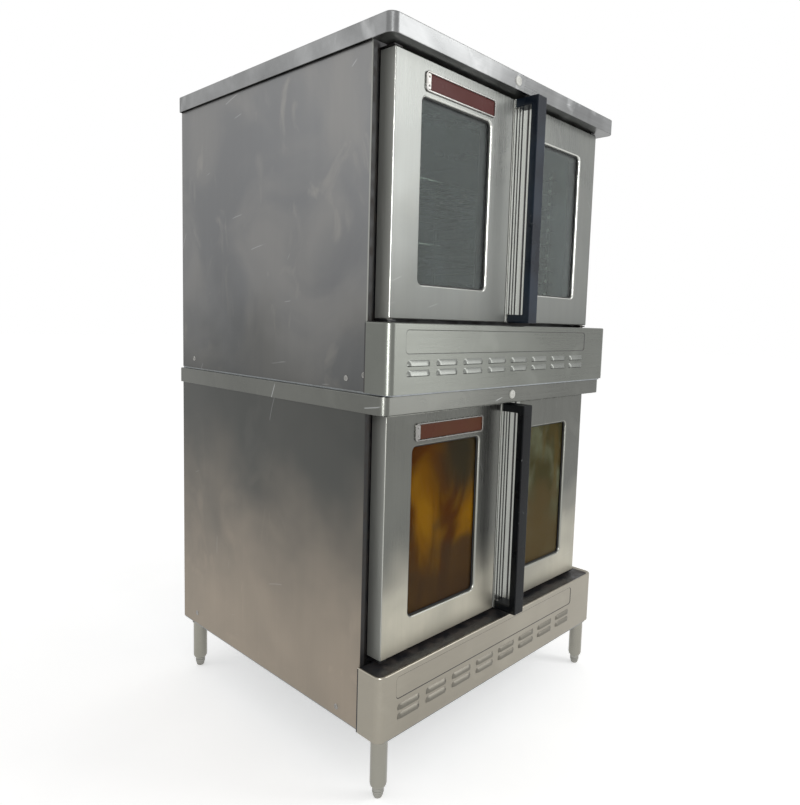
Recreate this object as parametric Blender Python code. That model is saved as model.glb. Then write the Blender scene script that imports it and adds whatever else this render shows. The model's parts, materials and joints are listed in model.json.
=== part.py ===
"""Two convection ovens, one standing on the other, on four tubular legs.

Each oven has a sheet-steel body, a cavity with rack guides and sliding racks, a blower behind a
baffle, and a pair of glazed doors that turn on full-height hinge rods. The right door carries the
handle. Sizes are in metres, +Z is up and the front faces -Y. The origin is on the floor, under
the middle of the overall box.
"""

import math

import bmesh
import bpy
from mathutils import Matrix, Vector

# Overall sizes
WIDTH = 0.972  # across the cap
DEPTH = 0.937  # from the front of the cap to its back
SECTION_HEIGHT = 0.821  # one oven, from its base to the top of its cap
LEG_HEIGHT = 0.152  # floor to the base of the lower oven
HANDLE_REACH = 0.040  # how far the handle stands in front of the cap

# Fits and stock
GAP = 0.0003  # between pieces that touch
SHEET = 0.0015  # casing sheet
PLATE = 0.004  # hinge tabs and leg flanges
ROUND = 16  # sides of a round piece

# Cap
CAP_HEIGHT = 0.044
CAP_CORNER = 0.022  # radius of its two front corners

# Side, rear and base
SIDE_INSET = 0.008  # side panel behind the edge of the cap
SIDE_SETBACK = 0.068  # front edge of the side panel behind the cap
SIDE_HEM = 0.012  # its front edge turned inwards
BASE_RIM = 0.020

# Louvred panel below the doors
PANEL_PROUD = 0.012  # in front of the cap
PANEL_BOTTOM = 0.004
PANEL_TOP = 0.166
LOUVRE_COLUMNS = 8
LOUVRE_LENGTH = 0.066
LOUVRE_SLOT = 0.007
LOUVRE_FIRST = 0.098  # left edge of the panel to the middle of the first louvre
LOUVRE_LAST = 0.182  # middle of the last louvre to the right edge
LOUVRE_ROWS = (0.052, 0.075)  # above the base of the oven

# Doors
DOOR_SETBACK = 0.036  # door face behind the cap
DOOR_THICKNESS = 0.048
DOOR_SEAL_SPACE = 0.004  # door back to face frame
DOOR_SIDE_MARGIN = 0.046  # side of the cap to the outer edge of the door
DOOR_MEETING_GAP = 0.004
DOOR_TOP_SPACE = 0.007
DOOR_BOTTOM_SPACE = 0.008
WINDOW_MARGIN = 0.091  # door edge to window, sideways
WINDOW_MARGIN_ENDS = 0.083  # door edge to window, above and below
WINDOW_CORNER = 0.014
GLASS_OVERLAP = 0.010  # glass behind the door skin, all round
GLASS_THICKNESS = 0.014

# Hinges
HINGE_FROM_EDGE = 0.012
HINGE_FROM_FACE = 0.014
HINGE_ROD_RADIUS = 0.005
HINGE_TAB_WIDTH = 0.025
HINGE_TAB_FRONT = 0.010  # tab in front of the hinge axis
WASHER_RADIUS = 0.009

# Handle and the trim behind it
HANDLE_WIDTH = 0.041
HANDLE_BAR = 0.022  # front to back
HANDLE_ARM = 0.022  # height of each end arm
TRIM_WIDTH = 0.084
TRIM_THICKNESS = 0.003
TRIM_GROOVES = 4
TRIM_GROOVE_WIDTH = 0.006
TRIM_GROOVE_DEPTH = 0.0012

# Cavity, racks and blower
CAVITY_SIDE_MARGIN = 0.1175  # side of the cap to the inside of the cavity
CAVITY_END_MARGIN = 0.044  # door top or bottom to the inside of the cavity
REAR_SPACE = 0.135  # back of the cavity to the back of the cap, for the motor
GUIDE_POST = 0.020
GUIDE_POST_THICKNESS = 0.004
GUIDE_FROM_FRONT = 0.030
GUIDE_FROM_BAFFLE = 0.0207  # back ends of the ledges to the baffle
GUIDE_FIRST = 0.025  # cavity floor to the top of the first ledge
GUIDE_PITCH = 0.041
GUIDE_TOP_MARGIN = 0.050
LEDGE_WIDTH = 0.010
LEDGE_HEIGHT = 0.005
RACK_POSITIONS = (3, 7)
RACK_SIDE_CLEARANCE = 0.0015
RACK_FROM_FRONT = 0.046
RACK_FROM_BAFFLE = 0.0347
RACK_THICKNESS = 0.006
RACK_RAIL = 0.009
RACK_COLUMNS = 10
RACK_WIRE = 0.005
BAFFLE_FROM_BACK = 0.100
BAFFLE_SIDE_MARGIN = 0.068
BAFFLE_END_MARGIN = 0.034
BAFFLE_INLET_RADIUS = 0.085
BAFFLE_POST = 0.012
BAFFLE_POST_INSET = 0.012
WHEEL_RADIUS = 0.125
WHEEL_WIDTH = 0.055
WHEEL_FROM_BACK = 0.010
WHEEL_RING = 0.022
WHEEL_DISC = 0.002
WHEEL_BLADES = 12
WHEEL_BLADE_THICKNESS = 0.0025
WHEEL_HUB_RADIUS = 0.016
SHAFT_RADIUS = 0.006
SHAFT_REACH = 0.040  # shaft inside the hub
SHAFT_HOLE_RADIUS = 0.014
MOTOR_RADIUS = 0.068
MOTOR_LENGTH = 0.096
MOTOR_PLATE = 0.180
MOTOR_PLATE_THICKNESS = 0.003
FIREBOX_SIDE_MARGIN = 0.060
FIREBOX_FRONT_MARGIN = 0.060
FIREBOX_BACK_MARGIN = 0.094  # its back wall to the back of the cavity
FIREBOX_FLUE_MARGIN = 0.130  # each end of the flue slot to the walls
FIREBOX_FLUE_HEIGHT = 0.080

# Legs and feet
LEG_RADIUS = 0.021
LEG_WALL = 0.0015
LEG_FLANGE_RADIUS = 0.024
LEG_FROM_SIDE = 0.032
LEG_FROM_FRONT = 0.018
LEG_FROM_BACK = 0.060
LEG_INSERT = 0.025
FOOT_RADIUS = 0.0145
FOOT_TIP_RADIUS = 0.0105
FOOT_HEIGHT = 0.028
FOOT_CHAMFER = 0.008
STEM_RADIUS = 0.008
STEM_LENGTH = 0.036

# Planes that follow from the sizes above
FRONT = (HANDLE_REACH - DEPTH) / 2
BACK = FRONT + DEPTH
HALF = WIDTH / 2
DOOR_FACE = FRONT + DOOR_SETBACK
DOOR_BACK = DOOR_FACE + DOOR_THICKNESS
FACE = DOOR_BACK + DOOR_SEAL_SPACE
PANEL_BACK = FRONT + SIDE_SETBACK - SHEET
SIDE_OUTER = HALF - SIDE_INSET
SIDE_INNER = SIDE_OUTER - SHEET
RIM_OUTER = SIDE_INNER - GAP
RIM_INNER = RIM_OUTER - SHEET
REAR_OUTER = BACK - SHEET - GAP
REAR_PANEL_OUTER = REAR_OUTER - SHEET - GAP
DOOR_INNER_EDGE = DOOR_MEETING_GAP / 2
DOOR_OUTER_EDGE = HALF - DOOR_SIDE_MARGIN
DOOR_BOTTOM = PANEL_TOP + DOOR_BOTTOM_SPACE
DOOR_TOP = SECTION_HEIGHT - CAP_HEIGHT - DOOR_TOP_SPACE
HINGE_X = DOOR_OUTER_EDGE - HINGE_FROM_EDGE
HINGE_Y = DOOR_FACE + HINGE_FROM_FACE
GLASS_FRONT = DOOR_FACE + SHEET + GAP
GLASS_BACK = GLASS_FRONT + GLASS_THICKNESS
CAVITY_HALF = HALF - CAVITY_SIDE_MARGIN
CAVITY_FLOOR = DOOR_BOTTOM + CAVITY_END_MARGIN
CAVITY_CEILING = DOOR_TOP - CAVITY_END_MARGIN
CAVITY_MIDDLE = (CAVITY_FLOOR + CAVITY_CEILING) / 2
CAVITY_FRONT = FACE + SHEET + GAP
CAVITY_BACK = BACK - REAR_SPACE
BAFFLE_BACK = CAVITY_BACK - BAFFLE_FROM_BACK
BAFFLE_FRONT = BAFFLE_BACK - SHEET
LEDGE_OUTER = CAVITY_HALF - GAP - GUIDE_POST_THICKNESS
PAN_FLOOR = GAP + SHEET
UNDER_CAP = SECTION_HEIGHT - SHEET - GAP

FINISHES = {
    "brushed_steel": ((0.62, 0.62, 0.60), 1.0, 0.38),
    "dark_steel": ((0.05, 0.05, 0.055), 0.8, 0.50),
    "galvanised_steel": ((0.50, 0.52, 0.53), 1.0, 0.45),
    "porcelain_enamel": ((0.10, 0.10, 0.11), 0.0, 0.30),
    "black_enamel": ((0.022, 0.024, 0.034), 0.0, 0.35),
    "chrome_wire": ((0.75, 0.75, 0.74), 1.0, 0.15),
    "oven_glass": ((0.10, 0.12, 0.11), 0.0, 0.05),
    "painted_motor": ((0.06, 0.07, 0.08), 0.2, 0.50),
    "turned_steel": ((0.55, 0.55, 0.54), 1.0, 0.30),
}


def clear_scene():
    for existing in list(bpy.data.objects):
        bpy.data.objects.remove(existing, do_unlink=True)


def finish_material(name, finish):
    colour, metallic, roughness = FINISHES[finish]
    material = bpy.data.materials.new(f"{name}_{finish}")
    material.use_nodes = True
    shader = material.node_tree.nodes["Principled BSDF"]
    shader.inputs["Base Color"].default_value = (*colour, 1.0)
    shader.inputs["Metallic"].default_value = metallic
    shader.inputs["Roughness"].default_value = roughness
    return material


def across(side, inner, outer):
    """The X range between two distances from the middle, on the side given by -1 or 1."""
    return tuple(sorted((side * inner, side * outer)))


def boxes(*ranges):
    """Separate cuboids in one mesh, each given by its X, Y and Z ranges."""
    shape = bmesh.new()
    for ranges_xyz in ranges:
        low = Vector([span[0] for span in ranges_xyz])
        high = Vector([span[1] for span in ranges_xyz])
        place = Matrix.Translation((low + high) / 2) @ Matrix.Diagonal((*(high - low), 1.0))
        bmesh.ops.create_cube(shape, size=1.0, matrix=place)
    return shape


def rounded_rectangle(across_range, along_range, radius, rounded=(True, True, True, True)):
    """Corners anticlockwise from the low-low one, each either sharp or a quarter circle."""
    low_u, high_u = across_range
    low_v, high_v = along_range
    corners = ((low_u, low_v, 1, 1), (high_u, low_v, -1, 1), (high_u, high_v, -1, -1), (low_u, high_v, 1, -1))
    steps = 4
    outline = []
    for number, (u, v, toward_u, toward_v) in enumerate(corners):
        if not rounded[number]:
            outline.append((u, v))
            continue
        start = math.pi + number * math.pi / 2
        for step in range(steps + 1):
            angle = start + step * math.pi / 2 / steps
            centre_u, centre_v = u + toward_u * radius, v + toward_v * radius
            outline.append((centre_u + radius * math.cos(angle), centre_v + radius * math.sin(angle)))
    return outline


def prism(outline, low, high, upright=True):
    """An outline extruded along Z, or along Y where it isn't upright."""
    shape = bmesh.new()
    if upright:
        corners = [shape.verts.new((u, v, low)) for u, v in outline]
        travel = Vector((0, 0, high - low))
    else:
        corners = [shape.verts.new((u, low, v)) for u, v in outline]
        travel = Vector((0, high - low, 0))
    face = shape.faces.new(corners)
    extruded = bmesh.ops.extrude_face_region(shape, geom=[face], use_keep_orig=True)
    moved = [item for item in extruded["geom"] if isinstance(item, bmesh.types.BMVert)]
    bmesh.ops.translate(shape, verts=moved, vec=travel)
    bmesh.ops.recalc_face_normals(shape, faces=shape.faces[:])
    return shape


def cylinder(radius, low, high, centre, along_y=False, sides=ROUND):
    """A cylinder upright at centre (x, y), or along Y at centre (x, z)."""
    middle = (low + high) / 2
    if along_y:
        place = Matrix.Translation((centre[0], middle, centre[1])) @ Matrix.Rotation(math.pi / 2, 4, "X")
    else:
        place = Matrix.Translation((centre[0], centre[1], middle))
    shape = bmesh.new()
    bmesh.ops.create_cone(
        shape, cap_ends=True, segments=sides, radius1=radius, radius2=radius, depth=high - low, matrix=place
    )
    return shape


def turned(profile, centre):
    """A profile of (radius, height) points from axis to axis, spun about the upright axis at centre."""
    shape = bmesh.new()
    points = [shape.verts.new((radius, 0, height)) for radius, height in profile]
    edges = [shape.edges.new(pair) for pair in zip(points, points[1:])]
    bmesh.ops.spin(
        shape, geom=points + edges, axis=(0, 0, 1), cent=(0, 0, 0), angle=2 * math.pi, steps=ROUND, use_merge=True
    )
    bmesh.ops.remove_doubles(shape, verts=shape.verts[:], dist=1e-6)
    bmesh.ops.recalc_face_normals(shape, faces=shape.faces[:])
    bmesh.ops.translate(shape, verts=shape.verts[:], vec=(*centre, 0))
    return shape


def link(name, shape):
    mesh = bpy.data.meshes.new(name)
    shape.to_mesh(mesh)
    shape.free()
    made = bpy.data.objects.new(name, mesh)
    bpy.context.scene.collection.objects.link(made)
    return made


def pivot_at(name, place):
    pivot = bpy.data.objects.new(f"{name}_axis", None)
    pivot.location = place
    pivot.empty_display_size = 0.05
    bpy.context.scene.collection.objects.link(pivot)
    return pivot


def piece(name, finish, shape, joins=(), cuts=(), pivot=None, smooth=False):
    """One sub-part: a shape with others joined to it and cut from it, hung from its pivot if it moves."""
    if pivot:
        bmesh.ops.translate(shape, verts=shape.verts[:], vec=-pivot.location)
    made = link(name, shape)
    made.parent = pivot
    if smooth:
        made.data.shade_smooth()
        made.data.set_sharp_from_angle(angle=math.radians(35))
    made.data.materials.append(finish_material(name, finish))
    for operation, others in (("UNION", joins), ("DIFFERENCE", cuts)):
        for number, other in enumerate(others):
            helper = link(f"{name}_{operation.lower()}_{number}", other)
            helper.hide_render = True
            helper.display_type = "WIRE"
            boolean = made.modifiers.new(helper.name, "BOOLEAN")
            boolean.operation = operation
            boolean.solver = "EXACT"
            boolean.object = helper
    return made


def top_cap(section, base):
    """A tray turned over, with its underside closed in front of the doors."""
    bottom = base + SECTION_HEIGHT - CAP_HEIGHT
    top = base + SECTION_HEIGHT
    front_corners = (True, True, False, False)
    outer = rounded_rectangle((-HALF, HALF), (FRONT, BACK), CAP_CORNER, front_corners)
    inner_x = (SHEET - HALF, HALF - SHEET)
    inner = rounded_rectangle(inner_x, (FRONT + SHEET, BACK - SHEET), CAP_CORNER - SHEET, front_corners)
    hollow = prism(inner, bottom + SHEET, top - SHEET)
    open_below = boxes((inner_x, (PANEL_BACK, BACK - SHEET), (bottom - SHEET, top - CAP_HEIGHT / 2)))
    piece(f"{section}_top_cap", "brushed_steel", prism(outer, bottom, top), cuts=(hollow, open_below))


def side_panel(section, base, side, label):
    """A flat sheet with its front edge turned in."""
    front = FRONT + SIDE_SETBACK
    sheet = boxes((across(side, SIDE_INNER, SIDE_OUTER), (front, REAR_OUTER), (base + GAP, base + UNDER_CAP)))
    hem_x = across(side, SIDE_INNER - SIDE_HEM, SIDE_INNER + SHEET / 2)
    hem = boxes((hem_x, (front, front + SHEET), (base + BASE_RIM + 2 * GAP, base + UNDER_CAP)))
    piece(f"{section}_{label}_side_panel", "brushed_steel", sheet, joins=(hem,))


def rear_panel(section, base):
    """The back sheet, standing in the base pan."""
    x = (-RIM_INNER + GAP, RIM_INNER - GAP)
    y = (REAR_PANEL_OUTER - SHEET, REAR_PANEL_OUTER)
    sheet = boxes((x, y, (base + PAN_FLOOR + GAP, base + UNDER_CAP)))
    piece(f"{section}_rear_panel", "galvanised_steel", sheet)


def base_pan(section, base):
    """A shallow tray that carries the oven, rounded in front to fit inside the louvred panel."""
    front = FRONT - PANEL_PROUD + SHEET + GAP
    front_corners = (True, True, False, False)
    outer = rounded_rectangle((-RIM_OUTER, RIM_OUTER), (front, REAR_OUTER), CAP_CORNER, front_corners)
    inside_y = (front + SHEET, REAR_OUTER - SHEET)
    inner = rounded_rectangle((-RIM_INNER, RIM_INNER), inside_y, CAP_CORNER - SHEET, front_corners)
    tray = prism(outer, base + GAP, base + BASE_RIM + GAP)
    inside = prism(inner, base + PAN_FLOOR, base + 2 * BASE_RIM)
    piece(f"{section}_base_pan", "galvanised_steel", tray, cuts=(inside,))


def face_frame(section, base):
    """The plate round the mouth of the cavity, with a hinge tab above and below each door."""
    x = (-RIM_INNER + GAP, RIM_INNER - GAP)
    plate = boxes((x, (FACE, FACE + SHEET), (base + PAN_FLOOR + GAP, base + UNDER_CAP)))
    mouth_z = (base + CAVITY_FLOOR, base + CAVITY_CEILING)
    mouth = boxes(((-CAVITY_HALF, CAVITY_HALF), (FACE - SHEET, FACE + 2 * SHEET), mouth_z))
    tabs = []
    holes = []
    for side in (-1, 1):
        for low in (tab_below(base), tab_above(base)):
            tab_x = across(side, DOOR_OUTER_EDGE - HINGE_TAB_WIDTH, DOOR_OUTER_EDGE)
            tabs.append((tab_x, (HINGE_Y - HINGE_TAB_FRONT, FACE + SHEET / 2), (low, low + PLATE)))
            centre = (side * HINGE_X, HINGE_Y)
            holes.append(cylinder(HINGE_ROD_RADIUS + GAP, low - PLATE, low + 2 * PLATE, centre))
    piece(f"{section}_face_frame", "dark_steel", plate, joins=(boxes(*tabs),), cuts=(mouth, *holes))


def tab_below(base):
    """The underside of the lower hinge tabs, midway in the space under the doors."""
    return base + DOOR_BOTTOM - (DOOR_BOTTOM_SPACE + PLATE) / 2


def tab_above(base):
    """The underside of the upper hinge tabs, midway in the space over the doors."""
    return base + DOOR_TOP + (DOOR_TOP_SPACE - PLATE) / 2


def oven_liner(section, base):
    """The cavity: five walls and a flange behind the face frame, with a hole for the blower's shaft."""
    x = (-CAVITY_HALF - SHEET, CAVITY_HALF + SHEET)
    z = (base + CAVITY_FLOOR - SHEET, base + CAVITY_CEILING + SHEET)
    shell = boxes((x, (CAVITY_FRONT, CAVITY_BACK + SHEET), z))
    flange_x = (x[0] - BASE_RIM, x[1] + BASE_RIM)
    flange_z = (z[0] - BASE_RIM, z[1] + BASE_RIM)
    flange = boxes((flange_x, (CAVITY_FRONT, CAVITY_FRONT + SHEET), flange_z))
    hollow_z = (base + CAVITY_FLOOR, base + CAVITY_CEILING)
    hollow = boxes(((-CAVITY_HALF, CAVITY_HALF), (CAVITY_FRONT - SHEET, CAVITY_BACK), hollow_z))
    centre = (0, base + CAVITY_MIDDLE)
    hole = cylinder(SHAFT_HOLE_RADIUS, CAVITY_BACK - SHEET, CAVITY_BACK + 2 * SHEET, centre, along_y=True)
    piece(f"{section}_oven_liner", "porcelain_enamel", shell, joins=(flange,), cuts=(hollow, hole))


def firebox(section, base):
    """The burner chamber between base pan and cavity: open above, with a flue slot in each side."""
    half = CAVITY_HALF - FIREBOX_SIDE_MARGIN
    y = (FACE + FIREBOX_FRONT_MARGIN, CAVITY_BACK - FIREBOX_BACK_MARGIN)
    z = (base + PAN_FLOOR + GAP, base + CAVITY_FLOOR - SHEET - GAP)
    walls = boxes(((-half, half), y, z))
    inside_y = (y[0] + SHEET, y[1] - SHEET)
    inside = boxes(((SHEET - half, half - SHEET), inside_y, (z[0] + SHEET, z[1] + SHEET)))
    flue_y = (y[0] + FIREBOX_FLUE_MARGIN, y[1] - FIREBOX_FLUE_MARGIN)
    flue_z = ((z[0] + z[1] - FIREBOX_FLUE_HEIGHT) / 2, (z[0] + z[1] + FIREBOX_FLUE_HEIGHT) / 2)
    flue = boxes(((-half - SHEET, half + SHEET), flue_y, flue_z))
    piece(f"{section}_firebox", "galvanised_steel", walls, cuts=(inside, flue))


def louvre_panel(section, base):
    """A removable front panel with returned sides and top, and two rows of louvre slots."""
    front = FRONT - PANEL_PROUD
    bottom, top = base + PANEL_BOTTOM, base + PANEL_TOP
    front_corners = (True, True, False, False)
    outer = rounded_rectangle((-HALF, HALF), (front, PANEL_BACK), CAP_CORNER, front_corners)
    inner_y = (front + SHEET, PANEL_BACK + SHEET)
    inner = rounded_rectangle((SHEET - HALF, HALF - SHEET), inner_y, CAP_CORNER - SHEET, front_corners)
    hollow = prism(inner, bottom - SHEET, top - SHEET)
    pitch = (WIDTH - LOUVRE_FIRST - LOUVRE_LAST) / (LOUVRE_COLUMNS - 1)
    slots = []
    for column in range(LOUVRE_COLUMNS):
        middle = LOUVRE_FIRST - HALF + column * pitch
        for row in LOUVRE_ROWS:
            slot_x = (middle - LOUVRE_LENGTH / 2, middle + LOUVRE_LENGTH / 2)
            slot_z = (base + row - LOUVRE_SLOT / 2, base + row + LOUVRE_SLOT / 2)
            slots.append((slot_x, (front - SHEET, front + 2 * SHEET), slot_z))
    piece(f"{section}_louvre_panel", "brushed_steel", prism(outer, bottom, top), cuts=(hollow, boxes(*slots)))


def window_outline(side, base, margin=0.0):
    """The window opening as an (x, z) outline, grown by a margin all round."""
    x = across(side, DOOR_INNER_EDGE + WINDOW_MARGIN - margin, DOOR_OUTER_EDGE - WINDOW_MARGIN + margin)
    z = (base + DOOR_BOTTOM + WINDOW_MARGIN_ENDS - margin, base + DOOR_TOP - WINDOW_MARGIN_ENDS + margin)
    return rounded_rectangle(x, z, WINDOW_CORNER + margin)


def door(section, base, side, label):
    """Outer shell, inner panel and sealed glass unit, hung on a hinge rod that the body holds."""
    name = f"{section}_{label}"
    pivot = pivot_at(f"{name}_door", (side * HINGE_X, HINGE_Y, base + DOOR_BOTTOM))
    x = across(side, DOOR_INNER_EDGE, DOOR_OUTER_EDGE)
    z = (base + DOOR_BOTTOM, base + DOOR_TOP)
    inside_x = (x[0] + SHEET, x[1] - SHEET)
    inside_z = (z[0] + SHEET, z[1] - SHEET)
    inside = boxes((inside_x, (DOOR_FACE + SHEET, DOOR_BACK + SHEET), inside_z))
    opening = prism(window_outline(side, base), DOOR_FACE - SHEET, DOOR_FACE + 2 * SHEET, upright=False)
    rod_centre = (side * HINGE_X, HINGE_Y)
    rod_hole = cylinder(HINGE_ROD_RADIUS + GAP, z[0] - PLATE, z[1] + PLATE, rod_centre)
    shell = boxes((x, (DOOR_FACE, DOOR_BACK), z))
    piece(f"{name}_door_shell", "brushed_steel", shell, cuts=(inside, opening, rod_hole), pivot=pivot)

    panel_x = (inside_x[0] + GAP, inside_x[1] - GAP)
    panel_z = (inside_z[0] + GAP, inside_z[1] - GAP)
    panel = boxes((panel_x, (DOOR_BACK - SHEET, DOOR_BACK), panel_z))
    collar_y = (GLASS_BACK + GAP, DOOR_BACK)
    collar = prism(window_outline(side, base, SHEET), *collar_y, upright=False)
    through = prism(window_outline(side, base), GLASS_BACK - SHEET, DOOR_BACK + SHEET, upright=False)
    piece(f"{name}_door_inner_panel", "brushed_steel", panel, joins=(collar,), cuts=(through,), pivot=pivot)

    glass = prism(window_outline(side, base, GLASS_OVERLAP), GLASS_FRONT, GLASS_BACK, upright=False)
    piece(f"{name}_door_window", "oven_glass", glass, pivot=pivot)
    return pivot


def hinge_rod(section, base, side, label):
    """A rod through both tabs and the door, with a washer collar that the door stands on."""
    bottom = base + PANEL_TOP + 4 * GAP
    top = base + DOOR_TOP + DOOR_TOP_SPACE - 2 * GAP
    washer = (tab_below(base) + PLATE + GAP, base + DOOR_BOTTOM - GAP)
    profile = (
        (0, bottom),
        (HINGE_ROD_RADIUS, bottom),
        (HINGE_ROD_RADIUS, washer[0]),
        (WASHER_RADIUS, washer[0]),
        (WASHER_RADIUS, washer[1]),
        (HINGE_ROD_RADIUS, washer[1]),
        (HINGE_ROD_RADIUS, top),
        (0, top),
    )
    rod = turned(profile, (side * HINGE_X, HINGE_Y))
    piece(f"{section}_{label}_hinge_rod", "turned_steel", rod, smooth=True)


def centre_trim(section, base, pivot):
    """A grooved strip down the meeting edge of the right door, behind the handle."""
    x = (DOOR_INNER_EDGE, DOOR_INNER_EDGE + TRIM_WIDTH)
    back = DOOR_FACE - GAP
    front = back - TRIM_THICKNESS
    z = (base + DOOR_BOTTOM, base + DOOR_TOP)
    pitch = TRIM_WIDTH / (TRIM_GROOVES + 1)
    grooves = []
    for number in range(1, TRIM_GROOVES + 1):
        middle = x[0] + number * pitch
        groove_x = (middle - TRIM_GROOVE_WIDTH / 2, middle + TRIM_GROOVE_WIDTH / 2)
        grooves.append((groove_x, (front - SHEET, front + TRIM_GROOVE_DEPTH), (z[0] - SHEET, z[1] + SHEET)))
    strip = boxes((x, (front, back), z))
    piece(f"{section}_centre_trim", "brushed_steel", strip, cuts=(boxes(*grooves),), pivot=pivot)


def handle(section, base, pivot):
    """A full-height bar on two end arms that stand on the trim."""
    front = FRONT - HANDLE_REACH
    back = DOOR_FACE - TRIM_THICKNESS - 2 * GAP
    x = (DOOR_INNER_EDGE, DOOR_INNER_EDGE + HANDLE_WIDTH)
    z = (base + DOOR_BOTTOM, base + DOOR_TOP)
    block = boxes((x, (front, back), z))
    grip_x = (x[0] - SHEET, x[1] + SHEET)
    grip = boxes((grip_x, (front + HANDLE_BAR, back + SHEET), (z[0] + HANDLE_ARM, z[1] - HANDLE_ARM)))
    piece(f"{section}_handle", "black_enamel", block, cuts=(grip,), pivot=pivot)


def guide_ledges(base):
    """The top of each ledge, from the first one up to as many as the cavity holds."""
    room = CAVITY_CEILING - CAVITY_FLOOR - GUIDE_FIRST - GUIDE_TOP_MARGIN
    count = int(room / GUIDE_PITCH) + 1
    return [base + CAVITY_FLOOR + GUIDE_FIRST + number * GUIDE_PITCH for number in range(count)]


def rack_guide(section, base, side, label):
    """Two posts on the cavity wall with a ledge for each rack position."""
    front = CAVITY_FRONT + GUIDE_FROM_FRONT
    back = BAFFLE_FRONT - GUIDE_FROM_BAFFLE
    ledges = guide_ledges(base)
    post_x = across(side, LEDGE_OUTER, CAVITY_HALF - GAP)
    post_z = (base + CAVITY_FLOOR + GAP, ledges[-1] + LEDGE_HEIGHT)
    post_ys = ((front + GUIDE_POST, front + 2 * GUIDE_POST), (back - 2 * GUIDE_POST, back - GUIDE_POST))
    posts = boxes(*[(post_x, post_y, post_z) for post_y in post_ys])
    ledge_x = across(side, LEDGE_OUTER - LEDGE_WIDTH, LEDGE_OUTER + GUIDE_POST_THICKNESS / 2)
    rails = boxes(*[(ledge_x, (front, back), (top - LEDGE_HEIGHT, top)) for top in ledges])
    piece(f"{section}_{label}_rack_guide", "chrome_wire", posts, joins=(rails,))


def rack(section, base, position, number):
    """A flat grid whose side rails lie on a pair of ledges."""
    bottom = guide_ledges(base)[position] + GAP
    half = LEDGE_OUTER - RACK_SIDE_CLEARANCE
    front = CAVITY_FRONT + RACK_FROM_FRONT
    back = BAFFLE_FRONT - RACK_FROM_BAFFLE
    pivot = pivot_at(f"{section}_rack_{number}", (0, front, bottom))
    pitch = (2 * (half - RACK_RAIL) + RACK_WIRE) / RACK_COLUMNS
    rows = ((front + RACK_RAIL, (front + back - RACK_RAIL) / 2), ((front + back + RACK_RAIL) / 2, back - RACK_RAIL))
    slots = []
    for column in range(RACK_COLUMNS):
        left = RACK_RAIL - half + column * pitch
        for row in rows:
            slots.append(((left, left + pitch - RACK_WIRE), row, (bottom - SHEET, bottom + 2 * RACK_THICKNESS)))
    grid = boxes(((-half, half), (front, back), (bottom, bottom + RACK_THICKNESS)))
    piece(f"{section}_rack_{number}", "chrome_wire", grid, cuts=(boxes(*slots),), pivot=pivot)


def fan_baffle(section, base):
    """The plate in front of the blower, standing on four posts, with a round inlet."""
    back = BAFFLE_BACK
    x = (BAFFLE_SIDE_MARGIN - CAVITY_HALF, CAVITY_HALF - BAFFLE_SIDE_MARGIN)
    z = (base + CAVITY_FLOOR + BAFFLE_END_MARGIN, base + CAVITY_CEILING - BAFFLE_END_MARGIN)
    plate = boxes((x, (back - SHEET, back), z))
    posts = []
    for post_x in (x[0] + BAFFLE_POST_INSET, x[1] - BAFFLE_POST_INSET - BAFFLE_POST):
        for post_z in (z[0] + BAFFLE_POST_INSET, z[1] - BAFFLE_POST_INSET - BAFFLE_POST):
            post_y = (back - SHEET / 2, CAVITY_BACK - GAP)
            posts.append(((post_x, post_x + BAFFLE_POST), post_y, (post_z, post_z + BAFFLE_POST)))
    centre = (0, base + CAVITY_MIDDLE)
    inlet = cylinder(BAFFLE_INLET_RADIUS, back - 2 * SHEET, back + SHEET, centre, along_y=True)
    piece(f"{section}_fan_baffle", "porcelain_enamel", plate, joins=(boxes(*posts),), cuts=(inlet,))


def blower_wheel(section, base):
    """A squirrel-cage wheel: back disc, hub, blades and front ring."""
    height = base + CAVITY_MIDDLE
    back = CAVITY_BACK - WHEEL_FROM_BACK
    front = back - WHEEL_WIDTH
    pivot = pivot_at(f"{section}_blower_wheel", (0, back, height))
    centre = (0, height)
    disc = cylinder(WHEEL_RADIUS, back - WHEEL_DISC, back, centre, along_y=True, sides=WHEEL_BLADES * 2)
    hub = cylinder(WHEEL_HUB_RADIUS, front + WHEEL_WIDTH / 4, back - WHEEL_DISC / 2, centre, along_y=True)
    ring_y = (front, front + WHEEL_DISC)
    ring = cylinder(WHEEL_RADIUS, *ring_y, centre, along_y=True, sides=WHEEL_BLADES * 2)
    eye = cylinder(WHEEL_RADIUS - WHEEL_RING, front - WHEEL_DISC, front + 2 * WHEEL_DISC, centre, along_y=True)
    blades = blower_blades(height, front + WHEEL_DISC / 2, back - WHEEL_DISC / 2)
    bore = cylinder(SHAFT_RADIUS + GAP, front, back + WHEEL_DISC, centre, along_y=True)
    name = f"{section}_blower_wheel"
    wheel = piece(name, "galvanised_steel", disc, joins=(hub, blades, ring), cuts=(eye, bore), pivot=pivot)
    return wheel


def blower_blades(height, front, back):
    """Slanted blades between the ring and the disc, evenly round the wheel."""
    blades = bmesh.new()
    radius = WHEEL_RADIUS - WHEEL_RING / 2
    length = WHEEL_RING * 0.8
    size = Matrix.Diagonal((length, back - front, WHEEL_BLADE_THICKNESS, 1.0))
    for number in range(WHEEL_BLADES):
        spin = Matrix.Rotation(2 * math.pi * number / WHEEL_BLADES, 4, "Y")
        slant = Matrix.Translation((radius, 0, 0)) @ Matrix.Rotation(math.radians(30), 4, "Y")
        place = Matrix.Translation((0, (front + back) / 2, height)) @ spin @ slant @ size
        bmesh.ops.create_cube(blades, size=1.0, matrix=place)
    return blades


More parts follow.
